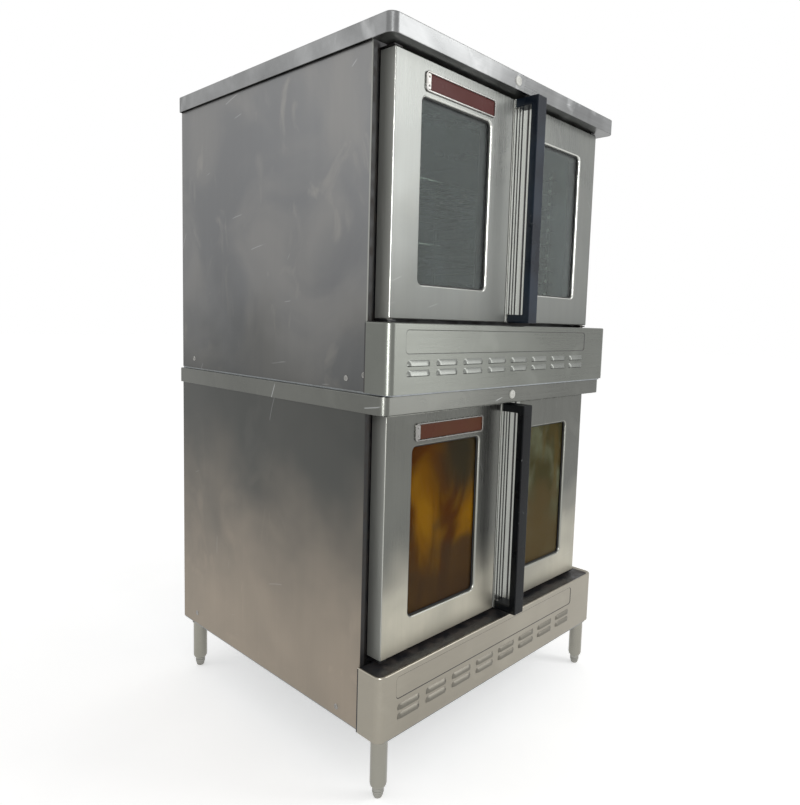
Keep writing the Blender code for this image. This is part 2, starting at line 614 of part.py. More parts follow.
def blower_motor(section, base):
    """The motor on its plate behind the cavity, with its shaft reaching into the wheel's hub."""
    height = base + CAVITY_MIDDLE
    plate_y = (CAVITY_BACK + SHEET + GAP, CAVITY_BACK + SHEET + GAP + MOTOR_PLATE_THICKNESS)
    reach = MOTOR_PLATE / 2
    plate = boxes(((-reach, reach), plate_y, (height - reach, height + reach)))
    body_y = (plate_y[1] - MOTOR_PLATE_THICKNESS / 2, plate_y[1] + MOTOR_LENGTH)
    body = cylinder(MOTOR_RADIUS, *body_y, (0, height), along_y=True)
    shaft_y = (CAVITY_BACK - WHEEL_FROM_BACK - SHAFT_REACH, plate_y[1])
    shaft = cylinder(SHAFT_RADIUS, *shaft_y, (0, height), along_y=True)
    piece(f"{section}_blower_motor", "painted_motor", plate, joins=(body, shaft), smooth=True)


def oven(section, base):
    """Everything in one oven."""
    top_cap(section, base)
    rear_panel(section, base)
    base_pan(section, base)
    face_frame(section, base)
    oven_liner(section, base)
    firebox(section, base)
    louvre_panel(section, base)
    fan_baffle(section, base)
    blower_wheel(section, base)
    blower_motor(section, base)
    pivots = {}
    for side, label in ((-1, "left"), (1, "right")):
        side_panel(section, base, side, label)
        rack_guide(section, base, side, label)
        hinge_rod(section, base, side, label)
        pivots[label] = door(section, base, side, label)
    centre_trim(section, base, pivots["right"])
    handle(section, base, pivots["right"])
    for number, position in enumerate(RACK_POSITIONS, start=1):
        rack(section, base, position, number)


def leg(name, place):
    """A tube closed by a flange above and by a bored insert below."""
    bottom = FOOT_HEIGHT + GAP
    inside = LEG_RADIUS - LEG_WALL
    profile = (
        (STEM_RADIUS + GAP, bottom),
        (LEG_RADIUS, bottom),
        (LEG_RADIUS, LEG_HEIGHT - PLATE),
        (LEG_FLANGE_RADIUS, LEG_HEIGHT - PLATE),
        (LEG_FLANGE_RADIUS, LEG_HEIGHT),
        (0, LEG_HEIGHT),
    )
    bore = (
        (0, LEG_HEIGHT - PLATE),
        (inside, LEG_HEIGHT - PLATE),
        (inside, bottom + LEG_INSERT),
        (STEM_RADIUS + GAP, bottom + LEG_INSERT),
        (STEM_RADIUS + GAP, bottom),
    )
    piece(f"{name}_leg", "brushed_steel", turned((*reversed(profile), *reversed(bore)), place), smooth=True)


def foot(name, place):
    """A bullet foot on a stem that screws into the leg."""
    profile = (
        (0, 0),
        (FOOT_TIP_RADIUS, 0),
        (FOOT_RADIUS, FOOT_CHAMFER),
        (FOOT_RADIUS, FOOT_HEIGHT),
        (STEM_RADIUS, FOOT_HEIGHT),
        (STEM_RADIUS, FOOT_HEIGHT + STEM_LENGTH),
        (0, FOOT_HEIGHT + STEM_LENGTH),
    )
    pivot = pivot_at(f"{name}_foot", (*place, 0))
    piece(f"{name}_foot", "turned_steel", turned(profile, place), pivot=pivot, smooth=True)


def legs_and_feet():
    rows = (("front", FRONT + LEG_FROM_FRONT), ("back", BACK - LEG_FROM_BACK))
    for row, y in rows:
        for side, label in ((-1, "left"), (1, "right")):
            place = (side * (HALF - LEG_FROM_SIDE), y)
            leg(f"{row}_{label}", place)
            foot(f"{row}_{label}", place)


def main():
    clear_scene()
    legs_and_feet()
    oven("lower", LEG_HEIGHT)
    oven("upper", LEG_HEIGHT + SECTION_HEIGHT)


main()
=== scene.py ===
import json
import math

import bmesh
import bpy
from bpy.props import FloatProperty, FloatVectorProperty, IntProperty, PointerProperty
from mathutils import Matrix, Vector

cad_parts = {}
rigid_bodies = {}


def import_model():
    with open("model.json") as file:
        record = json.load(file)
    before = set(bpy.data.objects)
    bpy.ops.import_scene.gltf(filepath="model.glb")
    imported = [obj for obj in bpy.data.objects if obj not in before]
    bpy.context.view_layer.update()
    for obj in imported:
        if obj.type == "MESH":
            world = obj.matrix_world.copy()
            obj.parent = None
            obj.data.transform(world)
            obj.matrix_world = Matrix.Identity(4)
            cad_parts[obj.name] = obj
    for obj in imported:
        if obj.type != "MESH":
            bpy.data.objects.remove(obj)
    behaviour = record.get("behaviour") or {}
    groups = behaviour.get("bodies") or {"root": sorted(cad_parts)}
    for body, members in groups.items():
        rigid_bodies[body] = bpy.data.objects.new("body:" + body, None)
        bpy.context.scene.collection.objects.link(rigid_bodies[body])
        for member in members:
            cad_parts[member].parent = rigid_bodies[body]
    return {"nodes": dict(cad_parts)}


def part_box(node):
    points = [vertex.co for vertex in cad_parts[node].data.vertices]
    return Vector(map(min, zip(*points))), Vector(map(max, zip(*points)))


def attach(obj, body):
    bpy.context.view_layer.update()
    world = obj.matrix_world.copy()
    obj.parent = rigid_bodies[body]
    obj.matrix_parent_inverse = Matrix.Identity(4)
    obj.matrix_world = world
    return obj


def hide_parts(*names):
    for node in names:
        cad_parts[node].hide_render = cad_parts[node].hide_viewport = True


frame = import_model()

bl_info = {
    "name": "Stacked Convection Ovens",
    "version": (1, 0, 0),
    "blender": (4, 5, 0),
    "location": "3D View > Sidebar > Ovens",
    "description": "Sheet steel, glazing, handles and finishes for two stacked convection ovens",
    "category": "Object",
}

SECTIONS = ("lower", "upper")
SIDES = (("left", -1), ("right", 1))
MM = 0.001
GAP = 0.0003  # between pieces that touch
CORNER_STEPS = 8  # points round each corner of an outline
SHARP_ANGLE = 32  # degrees; shallower edges are shaded smooth

# Measures in metres that the CAD bodies' boxes don't hold
WINDOW_CORNER = 0.014
GLASS_OVERLAP = 0.010  # glass behind the door skin, all round
PANE_CORNER = 0.024
PANE_BEHIND_FACE = 0.0092
TRIM_RIBS = (
    # from the meeting edge, to, and how far it stands, in millimetres
    (0.0, 8.0, 2.4),
    (12.5, 21.0, 2.6),
    (25.5, 34.0, 2.4),
    (38.5, 58.0, 3.0),
    (66.0, 84.0, 3.0),
)
HANDLE_BAR = 0.022  # thickness of the bar and of its arms
LOUVRE_COLUMNS = 8
LOUVRE_FIRST, LOUVRE_LAST = 0.098, 0.790  # from the panel's left edge to a louvre's middle
LOUVRE_ROWS = (0.052, 0.075)  # above the base of the oven
SIDE_SCREWS = {
    # (behind the cap's front, above the base of the oven)
    "upper": ((0.863, 0.032), (0.138, 0.031), (0.065, 0.043)),
    "lower": ((0.851, 0.039), (0.152, 0.028)),
}
VENT_ROWS, VENT_PITCH = 6, 0.032
RACK_PITCH = 0.041
FIRST_LEDGE = 0.025  # above the cavity floor
LINER_WALL = 0.0015
GUIDE_WIRE, LEDGE_WIRE = 0.002, 0.0025  # radii
RACK_FRAME_WIRE = 0.003  # radius
RACK_CROSS_WIRE = 0.002  # radius
GUARD_RINGS = (0.018, 0.036, 0.054, 0.072, 0.090)
GUARD_STEPS = 28
MOUTH_HALF, MOUTH_LOW, MOUTH_HIGH = 0.3685, 0.218, 0.726  # the doorway, above the base
RECESS = (0.055, 0.840, 0.095, 0.151)  # from the panel's left edge, and above the base
RECESS_DEPTH = 0.0011
PLATE = (0.142, 0.404, -0.071, -0.025)  # from the cap's left edge, and from the door's top
# Sections of frames: how far the outline grows, its corner radius, and how far off the face
GASKET = (
    (0.002, 0.016, -0.0002),
    (0.002, 0.016, -0.0022),
    (0.0005, 0.0145, -0.0028),
    (-0.0018, 0.0122, -0.0026),
    (-0.0026, 0.0114, -0.0014),
    (-0.0026, 0.0114, -0.0002),
)
PLATE_FRAME = (
    (0, 0.009, 0),
    (0, 0.009, -0.0028),
    (-0.0012, 0.008, -0.0040),
    (-0.0034, 0.006, -0.0040),
    (-0.0044, 0.005, -0.0030),
    (-0.0046, 0.005, -0.0012),
    (-0.0046, 0.005, 0),
)
PLATE_FIELD = (
    (0, 0.003, 0),
    (0, 0.003, -0.0010),
    (-0.0016, 0.003, -0.0014),
    (-0.0030, 0.003, -0.0014),
    (-0.0036, 0.002, -0.0010),
)
ROPE_SEAL = (
    (0.006, 0.010, -0.0002),
    (0.006, 0.010, -0.0022),
    (0.009, 0.013, -0.0036),
    (0.013, 0.017, -0.0036),
    (0.016, 0.020, -0.0022),
    (0.016, 0.020, -0.0002),
)
PLUG_X = {"lower": -0.001, "upper": -0.034}
LEG_RADIUS, LEG_WALL, STEM_HOLE = 0.021, 0.0015, 0.0085

# Lights and camera
FLOOR_LIFT = 0.46  # light added to what is seen of the floor
WORLD_LIGHT, WORLD_SEEN = 0.60, 1.0  # the surroundings' strength as a light, and as seen
LAMPS = (
    # name, place, what it points at, width and height, and power in watts
    ("key_softbox", (1.8, -2.8, 2.3), (-0.1, -0.4, 1.4), (1.0, 2.6), 30),
    ("low_softbox", (1.9, -2.8, 0.6), (-0.1, -0.4, 0.9), (0.9, 0.9), 6),
    ("cap_softbox", (1.7, -2.7, 3.1), (-0.2, -0.4, 1.78), (1.2, 0.9), 8),
    ("corner_softbox", (-2.3, -2.3, 1.5), (-0.4, -0.4, 1.0), (0.25, 1.8), 75),
    ("side_softbox", (-3.4, 2.6, 3.0), (-0.4, 0, 1.2), (2.0, 2.0), 12),
)
CAMERA_PLACE = (-1.4811, -1.5130, 1.1453)
CAMERA_PAN, CAMERA_DIP, CAMERA_ROLL = -47.805, 5.739, 1.900  # degrees
CAMERA_LENS = 29.54
CAMERA_SHIFT = (-0.0469, -0.0188)
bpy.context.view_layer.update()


# Colours and nodes


def linear(hex_colour):
    """An sRGB hex colour as linear red, green and blue."""
    channels = [int(hex_colour[place : place + 2], 16) / 255 for place in (1, 3, 5)]
    return tuple(c / 12.92 if c <= 0.04045 else ((c + 0.055) / 1.055) ** 2.4 for c in channels)


def rgba(colour):
    """A hex colour, or the name of one of the colours in the sidebar, for a shader socket."""
    chosen = linear(colour) if colour[0] == "#" else getattr(bpy.context.scene.oven_colours, colour)
    return (*chosen, 1.0)


def add(tree, kind, inputs, output=0, **settings):
    """Adds a node. Each input is a value or the socket that feeds it, and one output comes back."""
    made = tree.nodes.new("ShaderNode" + kind)
    for name, value in settings.items():
        setattr(made, name, value)
    for name, value in inputs.items():
        if isinstance(value, bpy.types.NodeSocket):
            tree.links.new(value, made.inputs[name])
        else:
            made.inputs[name].default_value = value
    return made.outputs[output] if made.outputs else made


def empty_material(name):
    """A material with no nodes yet, its tree, and Object coordinates in metres."""
    made = bpy.data.materials.new(name)
    made.use_nodes = True
    made.node_tree.nodes.clear()
    return made, made.node_tree, add(made.node_tree, "TexCoord", {}, "Object")


# Materials


def blotches(tree, coords, size, low, high, least=0.0, most=1.0, squash=(1, 1, 1), detail=4.0, swirl=0.0):
    """Soft-edged patches about size metres across, from least to most as their noise goes low to high."""
    mapped = add(tree, "Mapping", {"Vector": coords, "Scale": squash})
    inputs = {"Vector": mapped, "Scale": 1 / size, "Detail": detail, "Distortion": swirl}
    cloud = add(tree, "TexNoise", inputs, "Fac")
    inputs = {"Value": cloud, "From Min": low, "From Max": high, "To Min": least, "To Max": most}
    return add(tree, "MapRange", inputs, interpolation_type="SMOOTHSTEP")


LINES = {"X": (0.015, 1, 1), "Y": (1, 0.015, 1), "Z": (1, 1, 0.015)}


def stainless(name, clean, worn, axis, roughness, grain=0.03, wear=0.5, marks=0.1, foot=None, pillow=0.0):
    """Stainless sheet with a directional grain, wiped smears and the odd long scratch.

    clean is the bare metal and worn is where it has been wiped for years. grain is how far the lines
    of the finish change the tone, and marks how plain its scratches are. foot is an optional (top,
    bottom, colour): below top the sheet turns towards that colour, a painted gradient of reflection
    and shade. pillow is how much the thin sheet bows.
    """
    made, tree, coords = empty_material(name)
    # The polishing lines are 0.1 mm wide; they are drawn 2.5 mm wide so that they show.
    lines = blotches(tree, coords, 0.0025, 0.3, 0.7, squash=LINES[axis], detail=2.0)
    bands = blotches(tree, coords, 0.022, 0.3, 0.7, squash=LINES[axis], detail=2.0)
    cloud = blotches(tree, coords, 0.30, 0.35, 0.70, 0.0, wear * 0.6, detail=5.0, swirl=0.8)
    smears = blotches(tree, coords, 0.15, 0.52, 0.72, 0.0, wear, (1, 1.3, 0.8), 5.0, 0.9)
    smears = add(tree, "Math", {0: cloud, 1: smears}, operation="MAXIMUM")
    tone = rgba(clean)
    # Painted gradient: below the top of foot the tone turns towards its colour, standing in for reflection and
    # shade.
    if foot:
        height = add(tree, "SeparateXYZ", {0: coords}, 2)
        drift = blotches(tree, coords, 0.35, 0.25, 0.7, -0.09, 0.09, detail=3.0)
        height = add(tree, "Math", {0: height, 1: drift}, operation="ADD")
        inputs = {"Value": height, "From Min": foot[0], "From Max": foot[1]}
        painted_gradient = add(tree, "MapRange", inputs, interpolation_type="SMOOTHSTEP")
        tone = add(tree, "Mix", {0: painted_gradient, 6: tone, 7: rgba(foot[2])}, 2, data_type="RGBA")
    polish = tuple(w / c for w, c in zip(rgba(worn), rgba(clean)))
    wiped = add(tree, "Mix", {0: smears, 6: (1, 1, 1, 1), 7: polish}, 2, data_type="RGBA", clamp_result=False)
    tone = add(tree, "Mix", {0: 1.0, 6: tone, 7: wiped}, 2, data_type="RGBA", blend_type="MULTIPLY")
    shade = add(tree, "MapRange", {"Value": lines, "To Min": 1 - grain, "To Max": 1 + grain})
    broad = add(tree, "MapRange", {"Value": bands, "To Min": 1 - grain * 0.7, "To Max": 1 + grain * 0.7})
    shade = add(tree, "Math", {0: shade, 1: broad}, operation="MULTIPLY")
    tone = add(tree, "Mix", {0: 1.0, 6: tone, 7: shade}, 2, data_type="RGBA", blend_type="MULTIPLY")
    for centre, spacing in (((0.9, 1.3, -0.4), 5.1), ((-1.1, 0.6, 2.9), 6.3)):
        # Long scratches are arcs, as an arm or a cloth swings; a hairline is drawn 1.5 mm wide.
        mapped = add(tree, "Mapping", {"Vector": coords, "Location": centre})
        inputs = {"Vector": mapped, "Scale": spacing, "Distortion": 2.5, "Detail": 2.0, "Detail Scale": 0.6}
        rings = add(tree, "TexWave", inputs, "Fac", wave_type="RINGS", rings_direction="SPHERICAL")
        inputs = {"Value": rings, "From Min": 0.992, "From Max": 0.9995, "To Max": marks}
        scratch = add(tree, "MapRange", inputs)
        where = blotches(tree, mapped, 0.12, 0.70, 0.74, detail=1.0)
        scratch = add(tree, "Math", {0: scratch, 1: where}, operation="MULTIPLY")
        tone = add(tree, "Mix", {0: scratch, 6: tone, 7: rgba("#D2D4D5")}, 2, data_type="RGBA")
    shine = add(tree, "MapRange", {"Value": lines, "To Min": roughness - 0.02, "To Max": roughness + 0.02})
    shine = add(tree, "Math", {0: smears, 1: 0.12, 2: shine}, operation="MULTIPLY_ADD")
    if foot:
        shine = add(tree, "Math", {0: painted_gradient, 1: 0.2, 2: shine}, operation="MULTIPLY_ADD")
    normal = add(tree, "Bump", {"Strength": 0.025, "Distance": 0.0004, "Height": lines})
    if pillow:
        # Thin sheet bows by a fraction of a millimetre over a hand's width.
        bowed = blotches(tree, coords, 0.3, 0.2, 0.8, detail=1.0)
        inputs = {"Strength": pillow, "Distance": 0.02, "Height": bowed, "Normal": normal}
        normal = add(tree, "Bump", inputs)
    inputs = {"Base Color": tone, "Metallic": 1.0, "Roughness": shine, "Normal": normal}
    add(tree, "OutputMaterial", {"Surface": add(tree, "BsdfPrincipled", inputs)})
    return made


def galvanised(name):
    """Hot-dipped zinc sheet: crystals about 9 mm across, each as bright as the way it faces."""
    made, tree, coords = empty_material(name)
    crystals = add(tree, "TexVoronoi", {"Vector": coords, "Scale": 110.0}, "Color")
    facing = add(tree, "SeparateColor", {0: crystals})
    tone = add(tree, "Mix", {0: facing, 6: rgba("#868A8C"), 7: rgba("#9A9EA0")}, 2, data_type="RGBA")
    stain = blotches(tree, coords, 0.25, 0.50, 0.85, 0.0, 0.6, detail=5.0, swirl=1.0)
    tone = add(tree, "Mix", {0: stain, 6: tone, 7: rgba("#7A756B")}, 2, data_type="RGBA")
    shine = add(tree, "MapRange", {"Value": facing, "To Min": 0.38, "To Max": 0.52})
    inputs = {"Base Color": tone, "Metallic": 0.9, "Roughness": shine}
    add(tree, "OutputMaterial", {"Surface": add(tree, "BsdfPrincipled", inputs)})
    return made


def baked_oil(name):
    """Steel blackened by years of baked-on oil: hardly any shine, and brown where it is thin."""
    made, tree, coords = empty_material(name)
    crust = blotches(tree, coords, 0.025, 0.35, 0.75, detail=6.0)
    tone = add(tree, "Mix", {0: crust, 6: rgba("#141518"), 7: rgba("#2B2521")}, 2, data_type="RGBA")
    shine = add(tree, "MapRange", {"Value": crust, "To Min": 0.4, "To Max": 0.7})
    normal = add(tree, "Bump", {"Strength": 0.3, "Distance": 0.0008, "Height": crust})
    inputs = {"Base Color": tone, "Roughness": shine, "Normal": normal}
    add(tree, "OutputMaterial", {"Surface": add(tree, "BsdfPrincipled", inputs)})
    return made


def porcelain(name):
    """Vitreous enamel on steel: glassy dark grey with pale specks of 1 mm, drawn at 2 mm."""
    made, tree, coords = empty_material(name)
    specks = add(tree, "TexVoronoi", {"Vector": coords, "Scale": 420.0}, "Distance")
    inputs = {"Value": specks, "From Min": 0.22, "From Max": 0.16}
    specks = add(tree, "MapRange", inputs)
    tone = add(tree, "Mix", {0: specks, 6: rgba("cavity"), 7: rgba("#B4BAB8")}, 2, data_type="RGBA")
    soil = blotches(tree, coords, 0.17, 0.45, 0.75, 0.0, 0.6, detail=5.0, swirl=0.6)
    tone = add(tree, "Mix", {0: soil, 6: tone, 7: rgba("#34312A")}, 2, data_type="RGBA")
    shine = add(tree, "MapRange", {"Value": soil, "To Min": 0.22, "To Max": 0.5})
    inputs = {"Base Color": tone, "Roughness": shine, "Coat Weight": 0.4, "Coat Roughness": 0.12}
    add(tree, "OutputMaterial", {"Surface": add(tree, "BsdfPrincipled", inputs)})
    return made


def handle_enamel(name, colour, second, shine_level):
    """Baked enamel over a die casting: faint orange peel, and small chips down to bright metal."""
    made, tree, coords = empty_material(name)
    worn = blotches(tree, coords, 0.11, 0.35, 0.7)
    tone = add(tree, "Mix", {0: worn, 6: rgba(colour), 7: rgba(second)}, 2, data_type="RGBA")
    chips = blotches(tree, coords, 0.007, 0.70, 0.72, detail=3.0)
    where = blotches(tree, coords, 0.09, 0.56, 0.62, detail=2.0)
    chips = add(tree, "Math", {0: chips, 1: where}, operation="MULTIPLY")
    tone = add(tree, "Mix", {0: chips, 6: tone, 7: rgba("#8F9294")}, 2, data_type="RGBA")
    shine = add(tree, "MapRange", {"Value": worn, "To Min": 0.26, "To Max": 0.40})
    peel = blotches(tree, coords, 0.0035, 0.2, 0.8, detail=2.0)
    peel = add(tree, "Math", {0: peel, 1: chips}, operation="SUBTRACT")
    normal = add(tree, "Bump", {"Strength": 0.12, "Distance": 0.0004, "Height": peel})
    inputs = {"Base Color": tone, "Metallic": chips, "Roughness": shine, "Normal": normal}
    inputs["Specular IOR Level"] = shine_level
    add(tree, "OutputMaterial", {"Surface": add(tree, "BsdfPrincipled", inputs)})
    return made


def chrome(name, colour, roughness, tint):
    """Nickel-chrome plate: bright and smooth, with straw-coloured heat tint in patches."""
    made, tree, coords = empty_material(name)
    heat = blotches(tree, coords, 0.07, 0.52, 0.72, 0.0, 0.5, detail=3.0)
    tone = add(tree, "Mix", {0: heat, 6: rgba(colour), 7: rgba(tint)}, 2, data_type="RGBA")
    shine = blotches(tree, coords, 0.016, 0.3, 0.7, roughness - 0.04, roughness + 0.08, detail=3.0)
    inputs = {"Base Color": tone, "Metallic": 1.0, "Roughness": shine}
    add(tree, "OutputMaterial", {"Surface": add(tree, "BsdfPrincipled", inputs)})
    return made


def turned_steel(name):
    """Lathe-turned steel: fine rings round the axis, a touch warmer than sheet, drawn 1.5 mm apart."""
    made, tree, coords = empty_material(name)
    rings = blotches(tree, coords, 0.0015, 0.3, 0.7, squash=(0.03, 0.03, 1), detail=1.0)
    tone = add(tree, "Mix", {0: rings, 6: rgba("#7E7D78"), 7: rgba("#A7A69F")}, 2, data_type="RGBA")
    shine = add(tree, "MapRange", {"Value": rings, "To Min": 0.24, "To Max": 0.36})
    inputs = {"Base Color": tone, "Metallic": 1.0, "Roughness": shine}
    add(tree, "OutputMaterial", {"Surface": add(tree, "BsdfPrincipled", inputs)})
    return made


def painted(name, colour, second, roughness, metallic=0.0):
    """Sprayed enamel or moulded nylon: an even colour with faint mottling and a fine texture."""
    made, tree, coords = empty_material(name)
    mottle = blotches(tree, coords, 0.03, 0.35, 0.7)
    tone = add(tree, "Mix", {0: mottle, 6: rgba(colour), 7: rgba(second)}, 2, data_type="RGBA")
    shine = add(tree, "MapRange", {"Value": mottle, "To Min": roughness - 0.06, "To Max": roughness + 0.08})
    texture = blotches(tree, coords, 0.0012, 0.2, 0.8, detail=1.0)
    normal = add(tree, "Bump", {"Strength": 0.15, "Distance": 0.0002, "Height": texture})
    inputs = {"Base Color": tone, "Metallic": metallic, "Roughness": shine, "Normal": normal}
    add(tree, "OutputMaterial", {"Surface": add(tree, "BsdfPrincipled", inputs)})
    return made


def braid(name):
    """Glass-fibre rope seal: a woven sleeve with a 4 mm twill, greyed by use."""
    made, tree, coords = empty_material(name)
    threads = []
    for turn in (0.8, -0.8):
        mapped = add(tree, "Mapping", {"Vector": coords, "Rotation": (0, turn, 0)})
        threads.append(add(tree, "TexWave", {"Vector": mapped, "Scale": 80.0, "Distortion": 0.4}, "Fac"))
    weave = add(tree, "Math", {0: threads[0], 1: threads[1]}, operation="MAXIMUM")
    tone = add(tree, "Mix", {0: weave, 6: rgba("#26251F"), 7: rgba("#5B584E")}, 2, data_type="RGBA")
    normal = add(tree, "Bump", {"Strength": 0.6, "Distance": 0.001, "Height": weave})
    inputs = {"Base Color": tone, "Roughness": 0.85, "Normal": normal}
    add(tree, "OutputMaterial", {"Surface": add(tree, "BsdfPrincipled", inputs)})
    return made


def see_through(tree, tint, film, share, mirror, roughness):
    """Plate glass that mirrors more at a shallow angle, tinted, with a film of soil over share of it."""
    facing = add(tree, "LayerWeight", {"Blend": 0.5}, "Facing")
    edge = add(tree, "Math", {0: facing, 1: 5.0}, operation="POWER")
    mirrored = add(tree, "MapRange", {"Value": edge, "To Min": mirror, "To Max": 20 * mirror})
    clear = add(tree, "BsdfTransparent", {"Color": tint})
    soiled = add(tree, "BsdfDiffuse", {"Color": film})
    body = add(tree, "MixShader", {0: share, 1: clear, 2: soiled})
    gloss = add(tree, "BsdfGlossy", {"Color": (1, 1, 1, 1), "Roughness": roughness})
    add(tree, "OutputMaterial", {"Surface": add(tree, "MixShader", {0: mirrored, 1: body, 2: gloss})})


def clean_glass(name, mirror, haze):
    """Toughened door glass, faintly green, wiped but hazy."""
    made, tree, coords = empty_material(name)
    haze = blotches(tree, coords, 0.14, 0.35, 0.7, haze / 4, haze, (1, 1, 0.5), 4.0, 0.5)
    see_through(tree, rgba("#F1F5F3"), rgba("#8E979B"), haze, mirror, 0.12)
    return made


def greasy_glass(name, bright, middle, dark, foot):
    """Door glass with fat baked on its inner face: amber where thin, running down to brown-black."""
    made, tree, coords = empty_material(name)
    cloud = blotches(tree, coords, 0.15, 0.32, 0.56, squash=(1, 1, 0.6), detail=3.0, swirl=0.7)
    runs = blotches(tree, coords, 0.05, 0.48, 0.75, 0.0, 0.75, (1, 1, 0.16), 4.0, 0.5)
    tone = add(tree, "Mix", {0: cloud, 6: rgba(bright), 7: rgba(middle)}, 2, data_type="RGBA")
    tone = add(tree, "Mix", {0: runs, 6: tone, 7: rgba(dark)}, 2, data_type="RGBA")
    height = add(tree, "SeparateXYZ", {0: coords}, 2)
    drift = blotches(tree, coords, 0.12, 0.25, 0.7, -0.09, 0.09, detail=3.0)
    height = add(tree, "Math", {0: height, 1: drift}, operation="ADD")
    inputs = {"Value": height, "From Min": 0.72, "From Max": 0.52, "To Max": 0.88}
    low = add(tree, "MapRange", inputs, interpolation_type="SMOOTHSTEP")
    tone = add(tree, "Mix", {0: low, 6: tone, 7: rgba(foot)}, 2, data_type="RGBA")
    # A grey, rippled patch at the top corner by the meeting edge is a painted reflection.
    centred = add(tree, "Mapping", {"Vector": coords, "Location": (0.12, 0, -0.80), "Scale": (1, 0, 1)})
    near = add(tree, "VectorMath", {0: centred}, "Value", operation="LENGTH")
    reflection_ripple = add(tree, "TexWave", {"Vector": coords, "Scale": 55.0, "Distortion": 7.0, "Detail": 2.0}, "Fac")
    near = add(tree, "Math", {0: reflection_ripple, 1: -0.03, 2: near}, operation="MULTIPLY_ADD")
    inputs = {"Value": near, "From Min": 0.15, "From Max": 0.04, "To Max": 0.85}
    painted_reflection_patch = add(tree, "MapRange", inputs, interpolation_type="SMOOTHSTEP")
    tone = add(tree, "Mix", {0: painted_reflection_patch, 6: tone, 7: rgba("#4A4539")}, 2, data_type="RGBA")
    see_through(tree, rgba("#C98F4A"), tone, 1.0, 0.001, 0.2)
    return made


def studio_white(name):
    """Matt white floor paint. What is seen of it is lifted to white, under its shadow."""
    made, tree, coords = empty_material(name)
    speck = blotches(tree, coords, 0.3, 0.3, 0.7, detail=2.0)
    tone = add(tree, "Mix", {0: speck, 6: rgba("#F4F4F3"), 7: rgba("#F7F7F6")}, 2, data_type="RGBA")
    seen = seen_directly(tree)
    lift = add(tree, "Math", {0: seen, 1: FLOOR_LIFT}, operation="MULTIPLY")
    glow = add(tree, "Emission", {"Color": (1, 1, 1, 1), "Strength": lift})
    matt = add(tree, "BsdfDiffuse", {"Color": tone})
    add(tree, "OutputMaterial", {"Surface": add(tree, "AddShader", {0: matt, 1: glow})})
    return made


def seen_directly(tree):
    """1 for what the camera sees, straight or in metal and glass, and 0 for the light that it casts."""
    camera = add(tree, "LightPath", {}, "Is Camera Ray")
    glossy = add(tree, "LightPath", {}, "Is Glossy Ray")
    through = add(tree, "LightPath", {}, "Is Transmission Ray")
    seen = add(tree, "Math", {0: camera, 1: glossy}, operation="MAXIMUM")
    return add(tree, "Math", {0: seen, 1: through}, operation="MAXIMUM")


